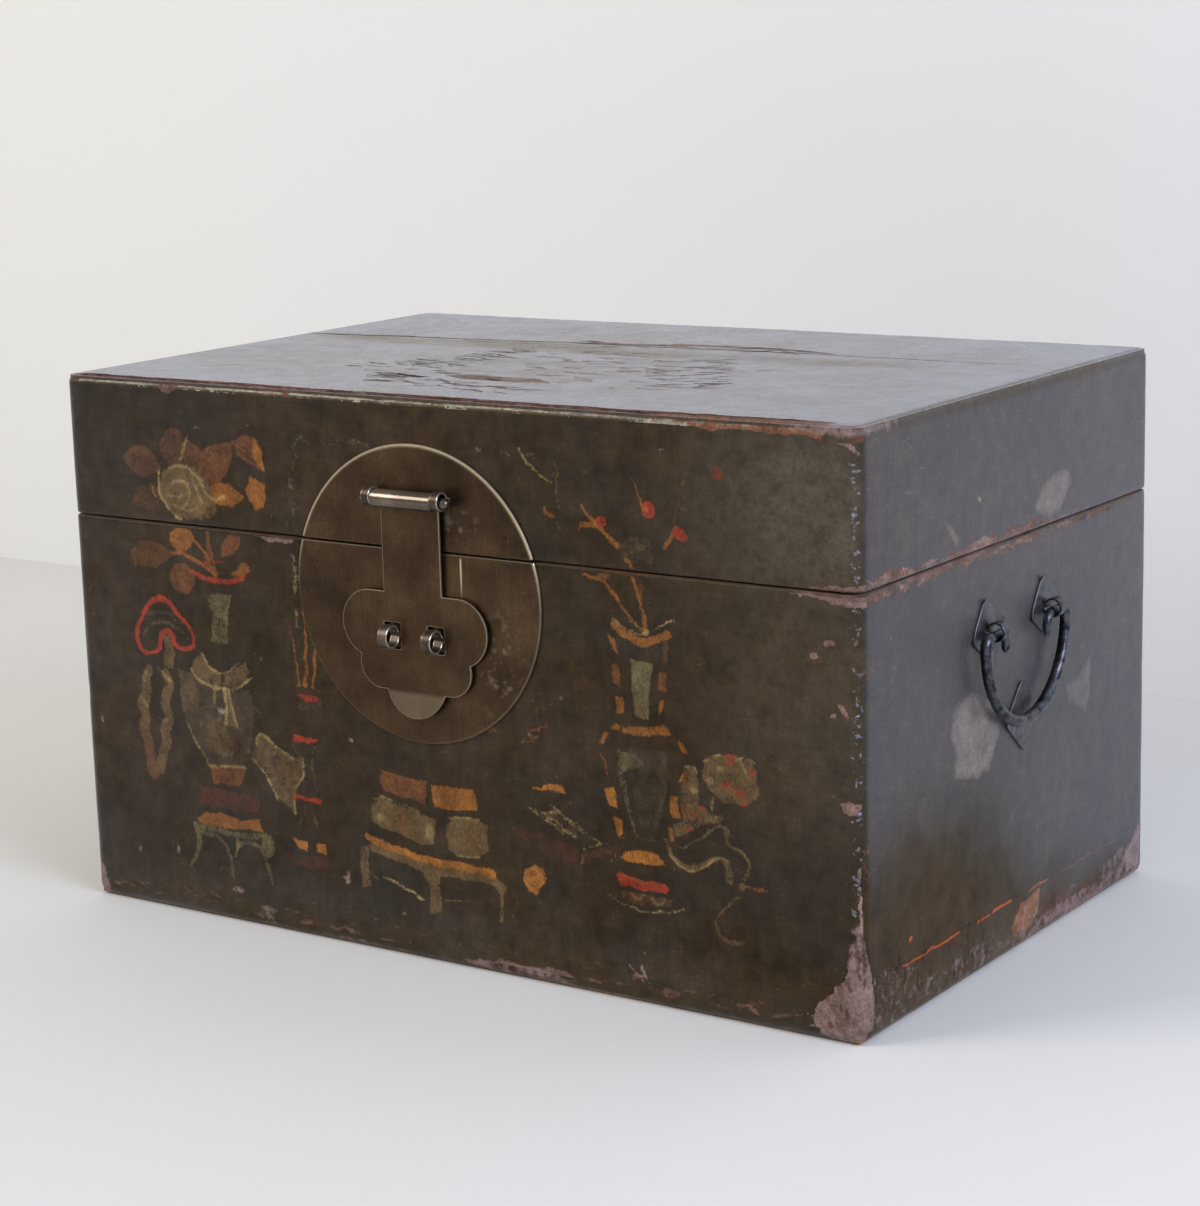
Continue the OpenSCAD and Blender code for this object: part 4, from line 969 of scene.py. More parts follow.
        line("cream", 0.8, 1.4, 126, 220, 135, 215, 143, 213),
        line("cream", 0.8, 1.4, 145, 214, 154, 217.5, 165, 223.5), line("cream", 0.5, 1, 147, 232, 152, 231),
        line("ochre", 1, (5.5, 5), 127, 216, 135, 211.5, 144, 208.5, 153, 211, 161, 215),
        patch("ochre", 1, 0.8, 122.5, 212, 127, 209, 129, 200, 124, 203),
        patch("rust", 1, 0.8, 124, 195, 129, 195, 130, 182, 124, 184),
        patch("ochre", 1, 0.8, 126, 177, 131.5, 177, 132, 167, 126.5, 167),
        patch("brown", 0.8, 0.8, 158, 212, 162, 210, 161, 199, 157, 199),
        patch("rust", 0.85, 0.8, 155, 195, 161.5, 195, 159.5, 182, 154.5, 183),
        patch("ochre", 0.95, 0.8, 155, 177.5, 158.5, 178, 155.5, 168, 153.5, 169),
        patch("sage", 1, 1, 136, 199.5, 152, 198, 149.5, 182, 148, 165, 139, 166, 137, 182),
        patch("olive", 0.6, 2, 139, 176, 148, 174, 147, 166, 140, 166),
        patch("ochre", 1, 1, 121, 156.5, 125, 162, 129, 160, 128, 157),
        patch("ochre", 0.95, 1.5, 129, 160, 143, 161.5, 154, 164, 159, 165.5, 165, 159, 156, 158, 143, 155,
            130, 156),
        patch("ochre", 1, 1, 165, 157, 170, 155, 172.5, 149.5, 168, 149),
        line("ochre", 0.9, 3.2, 116, 149.5, 120, 154), line("rust", 0.9, 1.6, 115, 142, 118, 138, 119.5, 131),
        patch("bright", 1, 0.6, 117, 123.5, 124, 124.5, 125.5, 113, 120, 112.5),
        patch("bright", 1, 0.6, 122, 108, 128, 106, 130, 97.5, 125, 95.5),
        patch("bright", 1, 1, 165.5, 131, 168, 138, 173, 140, 173, 134),
        patch("ochre", 0.95, 0.6, 161, 126, 166, 125, 167, 112, 160, 110.5),
        patch("ochre", 0.85, 0.6, 159, 107, 163, 106, 163, 98.5, 159, 98.5),
        patch("sage", 0.65, 2, 125, 148, 139, 145, 146, 140, 134, 136, 128, 129),
        line("sage", 0.6, (5, 2.4), 128, 138, 131, 122, 134, 108, 138, 98),
        line("sage", 0.5, 1.4, 138, 98, 146, 97, 154, 98), line("sage", 0.35, 1.4, 159, 130, 152, 112, 149, 99),
        patch("dusk", 0.6, 4, 132, 150, 160, 150, 161, 130, 154, 104, 140, 102, 134, 128),
        patch("bright", 1, 1.2, 127, 83.5, 130, 89, 142, 90.5, 153, 90, 158, 83, 142, 81.5),
        line("cream", 0.6, 1, 121.5, 81, 124, 86, 129, 90),
        patch("red", 1, 2, 123, 74, 127, 76, 142, 73.5, 157, 74.5, 160.5, 70.5, 157, 67, 142, 66.5, 126, 68),
        line("bright", 0.5, 0.8, 128, 74, 142, 71.7, 156, 72.5),
        patch("brown", 0.8, 2, 125, 66, 162, 66, 160, 60, 143, 57.5, 127, 60),
        line("cream", 0.7, 1.4, 118.5, 61.5, 126, 57.3, 143, 55, 160, 57.5, 169, 61.5),
        spot("dark", 0.6, (4, 3), 131, 62), spot("dark", 0.6, (5, 3), 144, 60),
        line("cream", 0.5, 1, 134, 65, 138, 61, 142, 65), line("cream", 0.5, 1, 147, 64, 151, 60, 156, 64),
    ]),
    "painted_fan_and_ribbons": ("caseFront", paintedLacquer, [
        patch("olive", 0.85, 4, 182, 147, 190, 152.5, 200, 153.5, 213, 152, 218, 145, 219, 131, 213, 126, 203, 123,
            194, 124, 186, 130, 180, 138),
        patch("olive", 0.72, 3, 169, 144, 178, 144, 181, 134, 180, 122, 188, 118, 196, 121, 194, 112, 183, 110,
            170, 103, 163, 100, 161, 108, 167, 112, 166, 126),
        spot("dusk", 0.5, (12, 8), 187, 124), spot("rust", 0.6, (11, 9), 172, 116),
        spot("rust", 0.5, (10, 7), 205, 132),
        line("red", 0.85, 1.5, 197, 150, 200, 152.5, 203, 150, 200, 147, 197, 150),
        spot("red", 0.9, (3, 3), 213.5, 144), spot("red", 0.85, (4.5, 3.5), 197, 135),
        spot("red", 0.8, (7, 3), 205, 131), spot("red", 0.9, (4, 3), 208, 126), spot("red", 0.8, (3, 3), 183, 137),
        spot("red", 0.7, (4, 2.6), 181, 120), spot("red", 0.6, (5, 2.6), 172, 107),
        spot("red", 0.6, (3, 2.4), 178, 115), line("cream", 0.7, 1.1, 171, 142, 175, 144.5, 179, 140),
        line("cream", 0.7, 1, 182, 146, 187, 151, 194, 152),
        line("cream", 0.8, 1.1, 204, 150, 209, 153.5, 215, 150), line("cream", 0.6, 1, 206, 150, 210, 143),
        spot("cream", 0.6, (6, 4), 186, 137), line("cream", 0.55, 1, 189, 127, 186, 121, 190, 117),
        spot("cream", 0.5, (5, 4), 176, 130), spot("cream", 0.5, (4, 3), 193, 144),
        line("sage", 0.8, (1.2, 2.2), 159, 99, 165, 95.5, 172, 98, 180, 103, 187, 109, 194, 112, 201, 107),
        line("olive", 0.8, (3, 5), 157, 99, 161, 90, 168, 84.5, 178, 86, 187, 92, 195, 93, 199, 87, 198, 81),
        line("cream", 0.75, 1.1, 159, 91, 168, 82.5, 180, 85, 190, 93.5, 197, 93),
        line("olive", 0.75, (3.4, 2.6), 196, 110, 197, 101, 204, 99.5, 210, 97, 211, 90, 207, 84),
        line("cream", 0.5, 1, 200, 101, 208, 99, 211, 93),
        line("ochre", 0.7, (3.4, 1.4), 205, 80, 213, 79, 222, 79), spot("olive", 0.6, (5, 5), 206, 79),
        line("olive", 0.7, (2, 3.4), 203, 72, 194, 66, 188.5, 57, 191, 49, 198, 46, 207, 48),
        line("olive", 0.45, 1.6, 193, 63, 196, 55, 204, 49, 212, 50), line("olive", 0.4, 2, 199, 80, 198, 73),
    ]),
    "painted_chips_and_glints_on_case": ("caseFront", paintedLacquer, [
        spot("fleck", 0.85, (3, 7), -206, 41), spot("fleck", 0.7, (12, 4), -159, 21),
        spot("fleck", 0.75, (13, 4), -134, 13), line("fleck", 0.8, (1, 3.6), -74, 43, -70, 40),
        line("fleck", 0.75, (3, 1.6), -70, 46, -71, 38), line("fleck", 0.85, 1.4, 131, 22, 141, 13),
        line("fleck", 0.8, (3, 1), 139, 22, 144, 13), line("fleck", 0.7, 1.2, 131, 16, 147, 17),
        spot("fleck", 0.9, (3.4, 3), -63, 128), spot("fleck", 0.8, (4, 3.4), 264, 181),
        spot("fleck", 0.7, (2, 3), -230, 231), spot("fleck", 0.6, (2, 2), -130, 170),
        spot("fleck", 0.5, (2, 3), -57, 83), spot("fleck", 0.5, (6, 3), -28, 27),
        spot("fleck", 0.6, (3, 2), 142, 30), spot("fleck", 0.55, (3, 5), -239, 35),
        line("fleck", 0.5, 1, 180, 200, 186, 203), line("cream", 0.5, (1, 3), -100, 235, -101, 215),
        line("cream", 0.35, (2.4, 1), -101, 205, -100, 180),
        patch("ashPink", 0.75, 2, 34, 4, 40, 11, 56, 9, 74, 12, 92, 10, 99, 4),
        *strewn("fleck", 0.8, [(-266, 60), (-268, 230)], 3, 5, 4, 1.6, 302),
        *strewn("scratch", 0.5, [(-101, 242), (-100, 192)], 3.5, 40, 3.5, 1, 315, 30),
        *strewn("scratch", 0.5, [(-245, 239), (-110, 240)], 5, 34, 3, 1, 316, 20),
        *strewn("clay", 0.75, [(-262, 11), (30, 11)], 4, 34, 9, 2.4, 303),
        *strewn("clay", 0.75, [(100, 11), (245, 11)], 4, 22, 9, 2.4, 304),
        *strewn("woodBrown", 0.6, [(-262, 16), (245, 16)], 9, 50, 7, 1.4, 307),
        # painted highlights: pale specks along the rounded arris that stand for glints of light
        *strewn("glint", 1, [(277, 72), (277, 240)], 2.4, 96, 1.3, 0.8, 308, 60),
    ]),
    "painted_scratches_on_case": ("caseFront", paintedLacquer, [
        *strewn("scratch", 0.32, [(-255, 60), (250, 60)], 50, 34, 15, 0.9, 311),
        *strewn("scratch", 0.32, [(-255, 170), (250, 170)], 66, 40, 15, 0.9, 312, 90),
        *strewn("fleck", 0.5, [(-255, 110), (250, 110)], 100, 60, 3, 1.3, 313, 40),
        *strewn("black", 0.5, [(-255, 120), (250, 120)], 100, 40, 12, 1.1, 314, 10),
    ]),
    "painted_wear_and_glints_on_lid_front": ("lidFront", paintedLacquer, [
        *strewn("scratch", 0.32, [(-255, 290), (250, 290)], 38, 34, 15, 0.9, 321),
        *strewn("fleck", 0.6, [(-255, 290), (250, 290)], 38, 40, 3, 1.2, 322, 30),
        # painted highlights: pale specks along the rounded arris that stand for glints of light
        *strewn("glint", 1, [(277, 254), (277, 316)], 2.4, 40, 1.3, 0.8, 326, 60),
        *strewn("scratch", 0.46, [(-97, 305), (-40, 306.5), (30, 307), (88, 306)], 1.5, 64, 6, 0.9, 327),
        *strewn("scratch", 0.5, [(-97, 305), (-100, 252)], 4, 70, 3.5, 1, 328, 30),
        *strewn("scratch", 0.46, [(88, 306), (91, 292), (92, 262)], 1.3, 28, 5, 0.9, 329),
    ]),
    "painted_stains_on_lid_side": ("lidRight", stainedLacquer, [
        cloud("stain", 0.34, 8, 21, 262, 31, 272, 46, 278, 66, 278, 74, 268, 66, 262, 56, 252, 41, 250, 23, 256),
        cloud("ashPink", 0.45, 8, -96, 277, -85, 270, -78, 266, -70, 258, -75, 252, -83, 262, -90, 270),
        cloud("stain", 0.26, 8, -122, 308, -110, 305, -106, 297, -112, 300, -120, 303),
        spot("stain", 0.8, (2.4, 2.4), -47, 277),
        *strewn("mist", 0.3, [(-165, 290), (165, 290)], 38, 18, 12, 0.9, 331),
    ]),
    "worn_lid_seam": ("lidRight", bareGround, [
        spot("clay", 0.85, (15, 7), -149, 252),
        patch("ashPink", 0.8, 1, -62, 249, -52, 253, -40, 255, -26, 252, -22, 249),
        *strewn("clay", 1, [(-172, 250.2), (40, 250.4)], 1.2, 34, 14, 2.2, 332),
        *strewn("ashPink", 1, [(-172, 250.6), (20, 250.6)], 1.4, 14, 8, 1.8, 333),
    ]),
    "worn_case_seam": ("caseRight", bareGround, [
        line("clay", 0.85, (6, 3), -175, 243, -160, 244, -150, 245), spot("ashPink", 0.8, (16, 5), 60, 245),
        *strewn("clay", 1, [(-172, 244.4), (130, 245)], 1.2, 44, 14, 2.2, 346),
        *strewn("ashPink", 1, [(-172, 244), (40, 244.4)], 1.8, 18, 8, 2, 347),
    ]),
    "painted_stains_on_case_side": ("caseRight", stainedLacquer, [
        cloud("stain", 0.38, 8, -81, 162, -72, 168, -56, 170, -34, 160, -19, 140, -34, 118, -49, 116, -66, 120,
            -80, 122, -77, 137, -84, 150),
        cloud("stain", 0.22, 8, 61, 148, 78, 150, 94, 158, 103, 165, 101, 135, 96, 120, 81, 128, 66, 135),
        line("black", 0.6, 0.6, -175, 34.5, -60, 34, 60, 34, 160, 33.5),
        line("orangeWood", 0.95, (0.5, 1.1), -139, 33, -104, 33, -72, 33),
        line("orangeWood", 0.9, 0.8, -49, 33, -34, 33), line("orangeWood", 1, (1.6, 0.7), -29, 33, -6, 33),
        line("orangeWood", 0.85, 0.6, 16, 33, 41, 33), line("orangeWood", 0.3, 0.4, 60, 33, 146, 32),
        spot("orangeWood", 0.8, (3, 2.4), -130, 46),
        patch("woodBrown", 0.8, 2, -7, 15, 6, 28, 31, 30, 31, 20, 21, 10, 11, 9),
        cloud("redBrown", 0.6, 8, 31, 25, 60, 22, 100, 18, 146, 8, 146, 3, 20, 3, 31, 12),
        patch("ashPink", 0.6, 3, 152, 4, 156, 20, 166, 30, 177, 38, 177, 4),
        cloud("clay", 0.4, 8, -40, 3, -30, 12, -8, 14, 8, 9, 20, 3),
        *strewn("ashPink", 0.3, [(-168, 10), (170, 12)], 8, 80, 6, 1.2, 341),
        *strewn("black", 0.6, [(-170, 24), (-20, 24)], 15, 50, 8, 1.2, 342, 90),
        *strewn("redBrown", 0.4, [(-170, 18), (-20, 18)], 12, 16, 12, 3, 343),
        *strewn("mist", 0.3, [(-165, 140), (165, 140)], 96, 26, 12, 0.9, 344, 60),
    ]),
    "painted_wear_on_left_side": ("caseLeft", stainedLacquer, [
        line("black", 0.9, 1.3, -168, 33.5, -60, 34, 60, 33, 168, 33.5),
        line("orangeWood", 0.9, 1.5, -20, 32.5, 30, 32.5), line("orangeWood", 0.8, 1.2, 70, 32.5, 110, 32.5),
        cloud("stain", 0.3, 8, -60, 150, -38, 164, -20, 158, -12, 134, -30, 120, -54, 128),
        *strewn("ashPink", 0.6, [(-168, 12), (170, 12)], 7, 44, 9, 2.6, 351),
        *strewn("mist", 0.3, [(-165, 140), (165, 140)], 96, 26, 12, 0.9, 352, 60),
    ]),
    "painted_haze_on_top": ("lidTop", paintedLacquer, [
        line("clay", 0.5, (5, 9), -277, 43, -230, 44, -200, 50, -150, 52, -100, 56, -70, 62),
        *strewn("scratch", 0.5, [(-250, 0), (250, 0)], 160, 24, 24, 1.2, 367, 15),
    ]),
    "cracks_on_top": ("lidTop", bareGround, [
        line("topBrown", 1, (3, 8), -108, 62, -80, 66, -40, 72, 10, 78),
        line("topBrown", 1, (8, 4), 0, 82, 40, 86, 80, 86, 116, 78),
        *strewn("topMark", 1, [(-60, 66), (110, 80)], 9, 22, 22, 2, 368),
        line("topMark", 1, 3, -273, 47, -230, 50, -200, 56, -150, 57, -100, 61, -70, 66),
        line("black", 0.8, 1.4, -273, 46, -230, 49, -200, 55, -150, 56, -100, 60),
        line("topMark", 1, (2.4, 0.8), -70, 66, 0, 68, 110, 74, 240, 72),
        patch("topBrown", 0.9, 4, -50, -99, -34, -88, -10, -92, 12, -89, 34, -103, 8, -110, -30, -109),
        line("black", 1, 4, -80, -104, -58, -110), line("black", 1, 3, -15, -102, -2, -107),
        *strewn("topMark", 1, [(-75, 31), (-78, -64)], 14, 36, 16, 1.6, 361, 90),
        *strewn("topMark", 1, [(-120, -60), (-60, -110)], 26, 44, 14, 1.6, 362, 45),
        *strewn("topMark", 1, [(-90, -118), (40, -138)], 14, 50, 16, 1.6, 363),
        *strewn("topMark", 1, [(60, 26), (84, -30), (118, -94)], 20, 60, 15, 1.6, 364, 90),
        *strewn("topBrown", 1, [(-40, 20), (60, -70)], 44, 40, 14, 2.4, 365, 40),
        *strewn("clay", 1, [(-60, 10), (100, -60)], 60, 16, 10, 2, 366, 30),
    ]),
    "worn_front_brow_and_highlight": ("lidBrow", bareGround, [
        patch("redBrown", 1, 2, -268, 334.5, -268, 342, -180, 343, -90, 341, 10, 343, 120, 342, 258, 346, 258, 334,
            60, 334.5, -80, 334),
        patch("wearBrown", 1, 1.5, 150, 336, 160, 331, 178, 331.5, 192, 328, 212, 330.5, 230, 328, 246, 330,
            258, 327, 260, 340, 230, 341, 190, 340),
        patch("ashPink", 0.8, 2, 236, 335, 250, 331, 259, 329, 262, 346, 248, 345),
        # a pale broken line along the crease: chipped edge and painted highlight
        line("chalk", 1, (0.6, 1), -266, 332.4, -232, 332.8, -206, 332.6),
        line("chalk", 1, 0.8, -184, 332.6, -150, 332.3, -104, 332.5),
        line("chalk", 1, 0.8, -98, 332.3, -40, 332.7, 2, 332.4),
        line("chalk", 1, (0.9, 0.6), 8, 332.6, 50, 332.2, 96, 332.8, 128, 332.4),
        line("chalk", 1, 0.6, 134, 332.2, 160, 330.8, 176, 331),
        patch("clay", 0.9, 1, -201, 334, -199, 328.6, -194, 327, -188, 329, -186, 334),
        *strewn("black", 0.9, [(150, 342), (256, 344)], 2, 12, 10, 1.2, 371),
        *strewn("clay", 1, [(-264, 337), (256, 338)], 2.4, 80, 12, 1.4, 372),
        # pale specks along the crease: chipped edge and painted highlight
        *strewn("chalk", 1, [(-264, 333), (256, 333)], 1.2, 40, 5, 0.8, 373),
        *strewn("ashPink", 1, [(-264, 334.5), (256, 334.5)], 1.6, 60, 8, 1, 374),
    ]),
    "worn_case_corner": ("caseFront", bareGround, [
        patch("ashPink", 0.9, 2, 278, 68, 274, 50, 269, 38, 262, 29, 252, 20, 249, 13, 251, 4, 288, 4, 289, 26,
            284, 46),
        line("ashPink", 1, (0.8, 1.6), 278, 100, 278, 84, 279, 62),
        line("black", 1, (0.6, 1.2), 279, 62, 281, 48, 280, 34),
        patch("clay", 1, 1, 226, 247.4, 244, 245, 262, 242.8, 276, 241, 286, 242.5, 292, 244, 292, 248),
        line("ashPink", 1, (0.8, 2.4), 240, 246, 258, 244, 284, 241.6),
        line("clay", 1, (1.4, 3.4), -130, 245.6, -116, 244.8, -102, 245.4),
        line("ashPink", 1, (0.8, 1.8), -125, 244.2, -113, 243.4, -102, 244.6),
        patch("chip", 1, 0.6, 266, 188, 270, 187.5, 273, 182, 269, 183),
        patch("chip", 1, 0.8, 267, 134, 273, 136.5, 280, 134, 277, 128.5, 270, 129.5),
        line("chip", 1, (2.4, 1.4), 260, 220.5, 265, 221.5), spot("chip", 1, (5, 3.4), 252, 213),
        *strewn("chip", 1, [(277, 100), (277, 236)], 2, 8, 2.4, 1.2, 301),
        *strewn("ashPink", 1, [(256, 8), (284, 40)], 10, 40, 5, 1.8, 305, 30),
        *strewn("redBrown", 1, [(258, 8), (282, 50)], 9, 26, 6, 1.1, 306, 60),
        *strewn("chip", 1, [(246, 10), (284, 12)], 7, 30, 3, 1.2, 309),
    ]),
    "worn_lid_corner": ("lidFront", bareGround, [
        line("ashPink", 1, (3, 0.6), 267, 328, 274, 326, 280, 321),
        patch("clay", 1, 1, 250, 249, 262, 250.6, 276, 251.4, 290, 250.4, 290, 247, 250, 247),
    ]),
}


brush = {
    "cell": 0.85, "margin": 3, "soft": 1.1,
    # how far the marks' edges wander across and up, and the noises that they wander by
    "wander": 0.9, "across": ((1, 7, 91), (0.5, 2.6, 92), (0.45, 1.3, 95)),
    "up": ((1, 7, 93), (0.5, 2.6, 94), (0.45, 1.3, 96)),
    # the film rises from this far under the lacquer's skin, by this much, and its underside lies this deep, in mm
    "under": 0.06, "rise": 0.16, "depth": 0.3,
    "least": 0.01,   # the cover under which there is no paint
}


def makePaint(name, panelName, material, marks):
    # Every mark covers what lies under it by a smooth step across its edge, which wanders by noise. The film keeps only
    # the grid's cells near paint. It follows the lacquer's swell, a hair above it, and dips under it at its border.
    panel = panels[panelName]
    reach = [np.max(width) / 2 + brush["margin"] for _, _, _, width, _ in marks]
    lows = np.array([np.min(mark[4], axis=0) - r for mark, r in zip(marks, reach)])
    highs = np.array([np.max(mark[4], axis=0) + r for mark, r in zip(marks, reach)])
    low, high = np.maximum(lows.min(0), panel[4]), np.minimum(highs.max(0), panel[5])
    lineU, lineV = (np.arange(low[k], high[k], brush["cell"]) for k in (0, 1))
    u, v = np.meshgrid(lineU, lineV, indexing="ij")
    base, out = onPanel(panel, u, v)
    bentU = u + brush["wander"] * waves(base, brush["across"])
    bentV = v + brush["wander"] * waves(base, brush["up"])
    colour = np.zeros(u.shape + (3,))
    cover = np.zeros(u.shape)
    for (ink, strength, shapeGap, width, points), markLow, markHigh in zip(marks, lows, highs):
        part = tuple(slice(*np.searchsorted(gridLine, (markLow[k], markHigh[k])))
                     for k, gridLine in enumerate((lineU, lineV)))
        gap = shapeGap(bentU[part], bentV[part], points, width)
        fresh = strength * smoothStep(brush["soft"], -brush["soft"], gap)
        total = fresh + cover[part] * (1 - fresh)
        share = np.where(total > 0, fresh / np.maximum(total, 1e-6), 1)
        share = np.where(gap < 2 * brush["soft"], np.maximum(share, cover[part] < brush["least"]), share)
        colour[part] += share[..., None] * (np.array(linear(inks[ink])[:3]) - colour[part])
        cover[part] = total
    near = cover > brush["least"]
    grown = near.copy()
    for axis in (0, 1):
        for way in (1, -1):
            grown |= np.roll(near, way, axis)
    quads = gridFaces(*u.shape)
    used, quads = np.unique(quads[grown.ravel()[quads].all(1)], return_inverse=True)
    quads = quads.reshape(-1, 4)
    base, out, colour = (values.reshape(-1, 3)[used] for values in (base, out, colour))
    cover = cover.ravel()[used]
    swell = surfaceOffset(base)
    shown = smoothStep(0.3, 0.6, cover) if material is bareGround else smoothStep(0.0, 0.3, cover)
    lift = swell - brush["under"] + brush["rise"] * shown
    points = np.concatenate([base + out * lift[:, None], base + out * (swell - brush["depth"])[:, None]])
    values = {k: np.tile(f, 2) for k, f in lacquerValues(base).items()}
    values["paint"] = np.tile(np.concatenate([colour, cover[:, None]], 1), (2, 1))
    body = "lid" if panelName.startswith("lid") else "case"
    return makePiece(name, points, [row for f in shellFaces((quads,), len(base), 2) for row in f.tolist()],
                     material, body, (), values)


for paintName, (panelName, paintMaterial, paintMarks) in ornament.items():
    painting = makePaint(paintName, panelName, paintMaterial, paintMarks)
    print(painting.name, len(painting.data.polygons), "faces")


# Sheet metal, cut to an outline. A field is the signed distance to the outline, below zero inside it.

def discField(u, v, centre, radius):
    return np.hypot(u - centre[0], v - centre[1]) - radius


def blockField(u, v, centre, half, rounding=0.0):
    a = np.abs(u - centre[0]) - half[0] + rounding
    b = np.abs(v - centre[1]) - half[1] + rounding
    return np.hypot(np.maximum(a, 0), np.maximum(b, 0)) + np.minimum(np.maximum(a, b), 0) - rounding


def makeSheet(name, field, low, high, size, place, material, body, replaced, rubAndHighlight=None):
    # A grid over the box is cut by the field: points within half a cell of the bevel's inner edge slide onto it along
    # the field's slope, points further out go, and a cell with one lost corner stays as a triangle. The border is then
    # carried over the bevel and down the sheet's edge. place(u, v, w) gives the point in space, w being the height over
    # the back, and the rub function how far hands have polished it, together with painted highlights and reflections.
    cell, thickness, bevel = size["cell"], size["thickness"], size["bevel"]
    u, v = np.meshgrid(np.arange(low[0], high[0] + cell, cell), np.arange(low[1], high[1] + cell, cell), indexing="ij")
    step = 0.02
    slopeU = (field(u + step, v) - field(u - step, v)) / (2 * step)
    slopeV = (field(u, v + step) - field(u, v - step)) / (2 * step)
    steep = np.maximum(np.hypot(slopeU, slopeV), 1e-6)
    slopeU, slopeV = slopeU / steep, slopeV / steep
    depth = field(u, v) + bevel
    snapped = np.abs(depth) < cell / 2
    kept = depth < cell / 2
    u, v = np.where(snapped, u - depth * slopeU, u), np.where(snapped, v - depth * slopeV, v)
    quads = gridFaces(*u.shape)
    corners = kept.ravel()[quads]
    whole = quads[corners.sum(1) == 4]
    part = quads[corners.sum(1) == 3]
    three = part[corners[corners.sum(1) == 3]].reshape(-1, 3)
    used = np.zeros(u.size, bool)
    used[whole] = True
    used[three] = True
    number = np.cumsum(used) - 1
    whole, three = number[whole], number[three]
    count = int(used.sum())
    flatU, flatV, edgeU, edgeV = (values.ravel()[used] for values in (u, v, slopeU, slopeV))
    outU, outV = flatU + bevel * edgeU, flatV + bevel * edgeV
    rows = [(flatU, flatV, np.full(count, thickness)), (outU, outV, np.full(count, thickness - bevel)),
            (outU, outV, np.zeros(count)), (flatU, flatV, np.zeros(count))]
    faces = shellFaces((whole, three), count, 4)
    allU, allV, allW = (np.concatenate([row[k] for row in rows]) for k in range(3))
    rim = np.concatenate([-field(flatU, flatV), np.zeros(2 * count), -field(flatU, flatV)])
    rubbed = rubAndHighlight(allU, allV) if rubAndHighlight else np.zeros(4 * count)
    points, faces, values = dropUnused(place(allU, allV, allW), faces, {"rim": rim, "rubAndHighlight": rubbed})
    return makePiece(name, points, faces, material, body, replaced, values, 28)


def onFront(x0, back, bend=None):
    # a sheet on the front: u is x from x0, v is z, and w comes forward from a plane set that far before the lacquer
    def place(u, v, w):
        forward = w + back + (bend(u, v) if bend else 0)
        return np.stack([u + x0, frontY - forward, v], -1)
    return place


lock = {
    "x": -9.0, "z": 221.0, "radius": 87.5, "thickness": 1.3, "bevel": 0.45, "cell": 0.9,
    "scratch": (33, 219, 246),   # a bright upright line on the lower plate, a painted reflection: u, then lowest and highest v
    "scuffs": [(60, 185, 0, 18, 36, 9, 0.16), (34, 264, 0, 14, 12, 9, 0.14)],
    # the small nails: angle round the plate and the body that each is driven into
    "nails": [(30, "lid"), (150, "lid"), (7.5, "case"), (172.5, "case"), (-90, "case")], "nailRing": 76.5,
    "pit": (1.8, 0.85),   # radius and depth of the dent round a nail
    "waves": ((0.16, 46, 31), (0.05, 15, 32)), "stand": 0.1,
}


def lockDents(u, v):
    # two noises, less a bell-shaped pit round each nail
    points = np.stack([u, v, np.zeros_like(u)], -1)
    forward = waves(points, lock["waves"]) + lock["stand"]
    wide, deep = lock["pit"]
    for angle, _ in lock["nails"]:
        nailU = lock["nailRing"] * math.cos(math.radians(angle))
        nailV = lock["z"] + lock["nailRing"] * math.sin(math.radians(angle))
        forward = forward - deep * np.exp(-((u - nailU) ** 2 + (v - nailV) ** 2) / wide ** 2)
    return forward


def lockField(u, v, low, high):
    return np.maximum(discField(u, v, (0, lock["z"]), lock["radius"]), np.maximum(low - v, v - high))


def lockRubAndHighlights(u, v):
    # the most of three: an upright line, a bell 0.4 mm wide that tapers both ways, which is a painted reflection; the
    # round edge, a bell that is wide and bright on the upper half, a little brighter to the right and faint below,
    # which is edge polish with a painted highlight; and scuffs where fine noise passes a level inside two places
    place, low, high = lock["scratch"]
    line = np.exp(-((u - place) / 0.4) ** 2) * smoothStep(low, high - 8, v) * (1 - smoothStep(high - 2, high, v))
    height = (v - lock["z"]) / lock["radius"]
    upper = smoothStep(-0.1, 0.45, height)
    polish = np.minimum(0.04 + 0.1 * smoothStep(-0.2, 0.6, u / lock["radius"]) + 0.75 * upper, 1)
    inward = lock["radius"] - np.hypot(u, v - lock["z"])
    edge = np.exp(-((inward - 0.3 - 0.3 * upper) / (0.45 + 0.35 * upper)) ** 2) * polish
    points = np.stack([u, v, np.zeros_like(u)], -1).reshape(-1, 3)
    near = placeField(points, lock["scuffs"], 0.2).reshape(u.shape)
    scuffs = near * smoothStep(0.1, 0.9, roughNoise(points, 3.4, 33).reshape(u.shape))
    return np.maximum.reduce([line, edge, scuffs])


radius = lock["radius"]
makeSheet("lock_plate_low", lambda u, v: lockField(u, v, 0, trunk["caseHigh"]), (-radius - 2, lock["z"] - radius - 2),
          (radius + 2, trunk["caseHigh"] + 2), lock, onFront(lock["x"], 0, lockDents), plateBrass, "case",
          ["lock_plate_lower"], lockRubAndHighlights)
makeSheet("lock_plate_high", lambda u, v: lockField(u, v, trunk["lidLow"], 999), (-radius - 2, trunk["lidLow"] - 2),
          (radius + 2, lock["z"] + radius + 2), lock, onFront(lock["x"], 0, lockDents), plateBrass, "lid",
          ["lock_plate_upper"], lockRubAndHighlights)

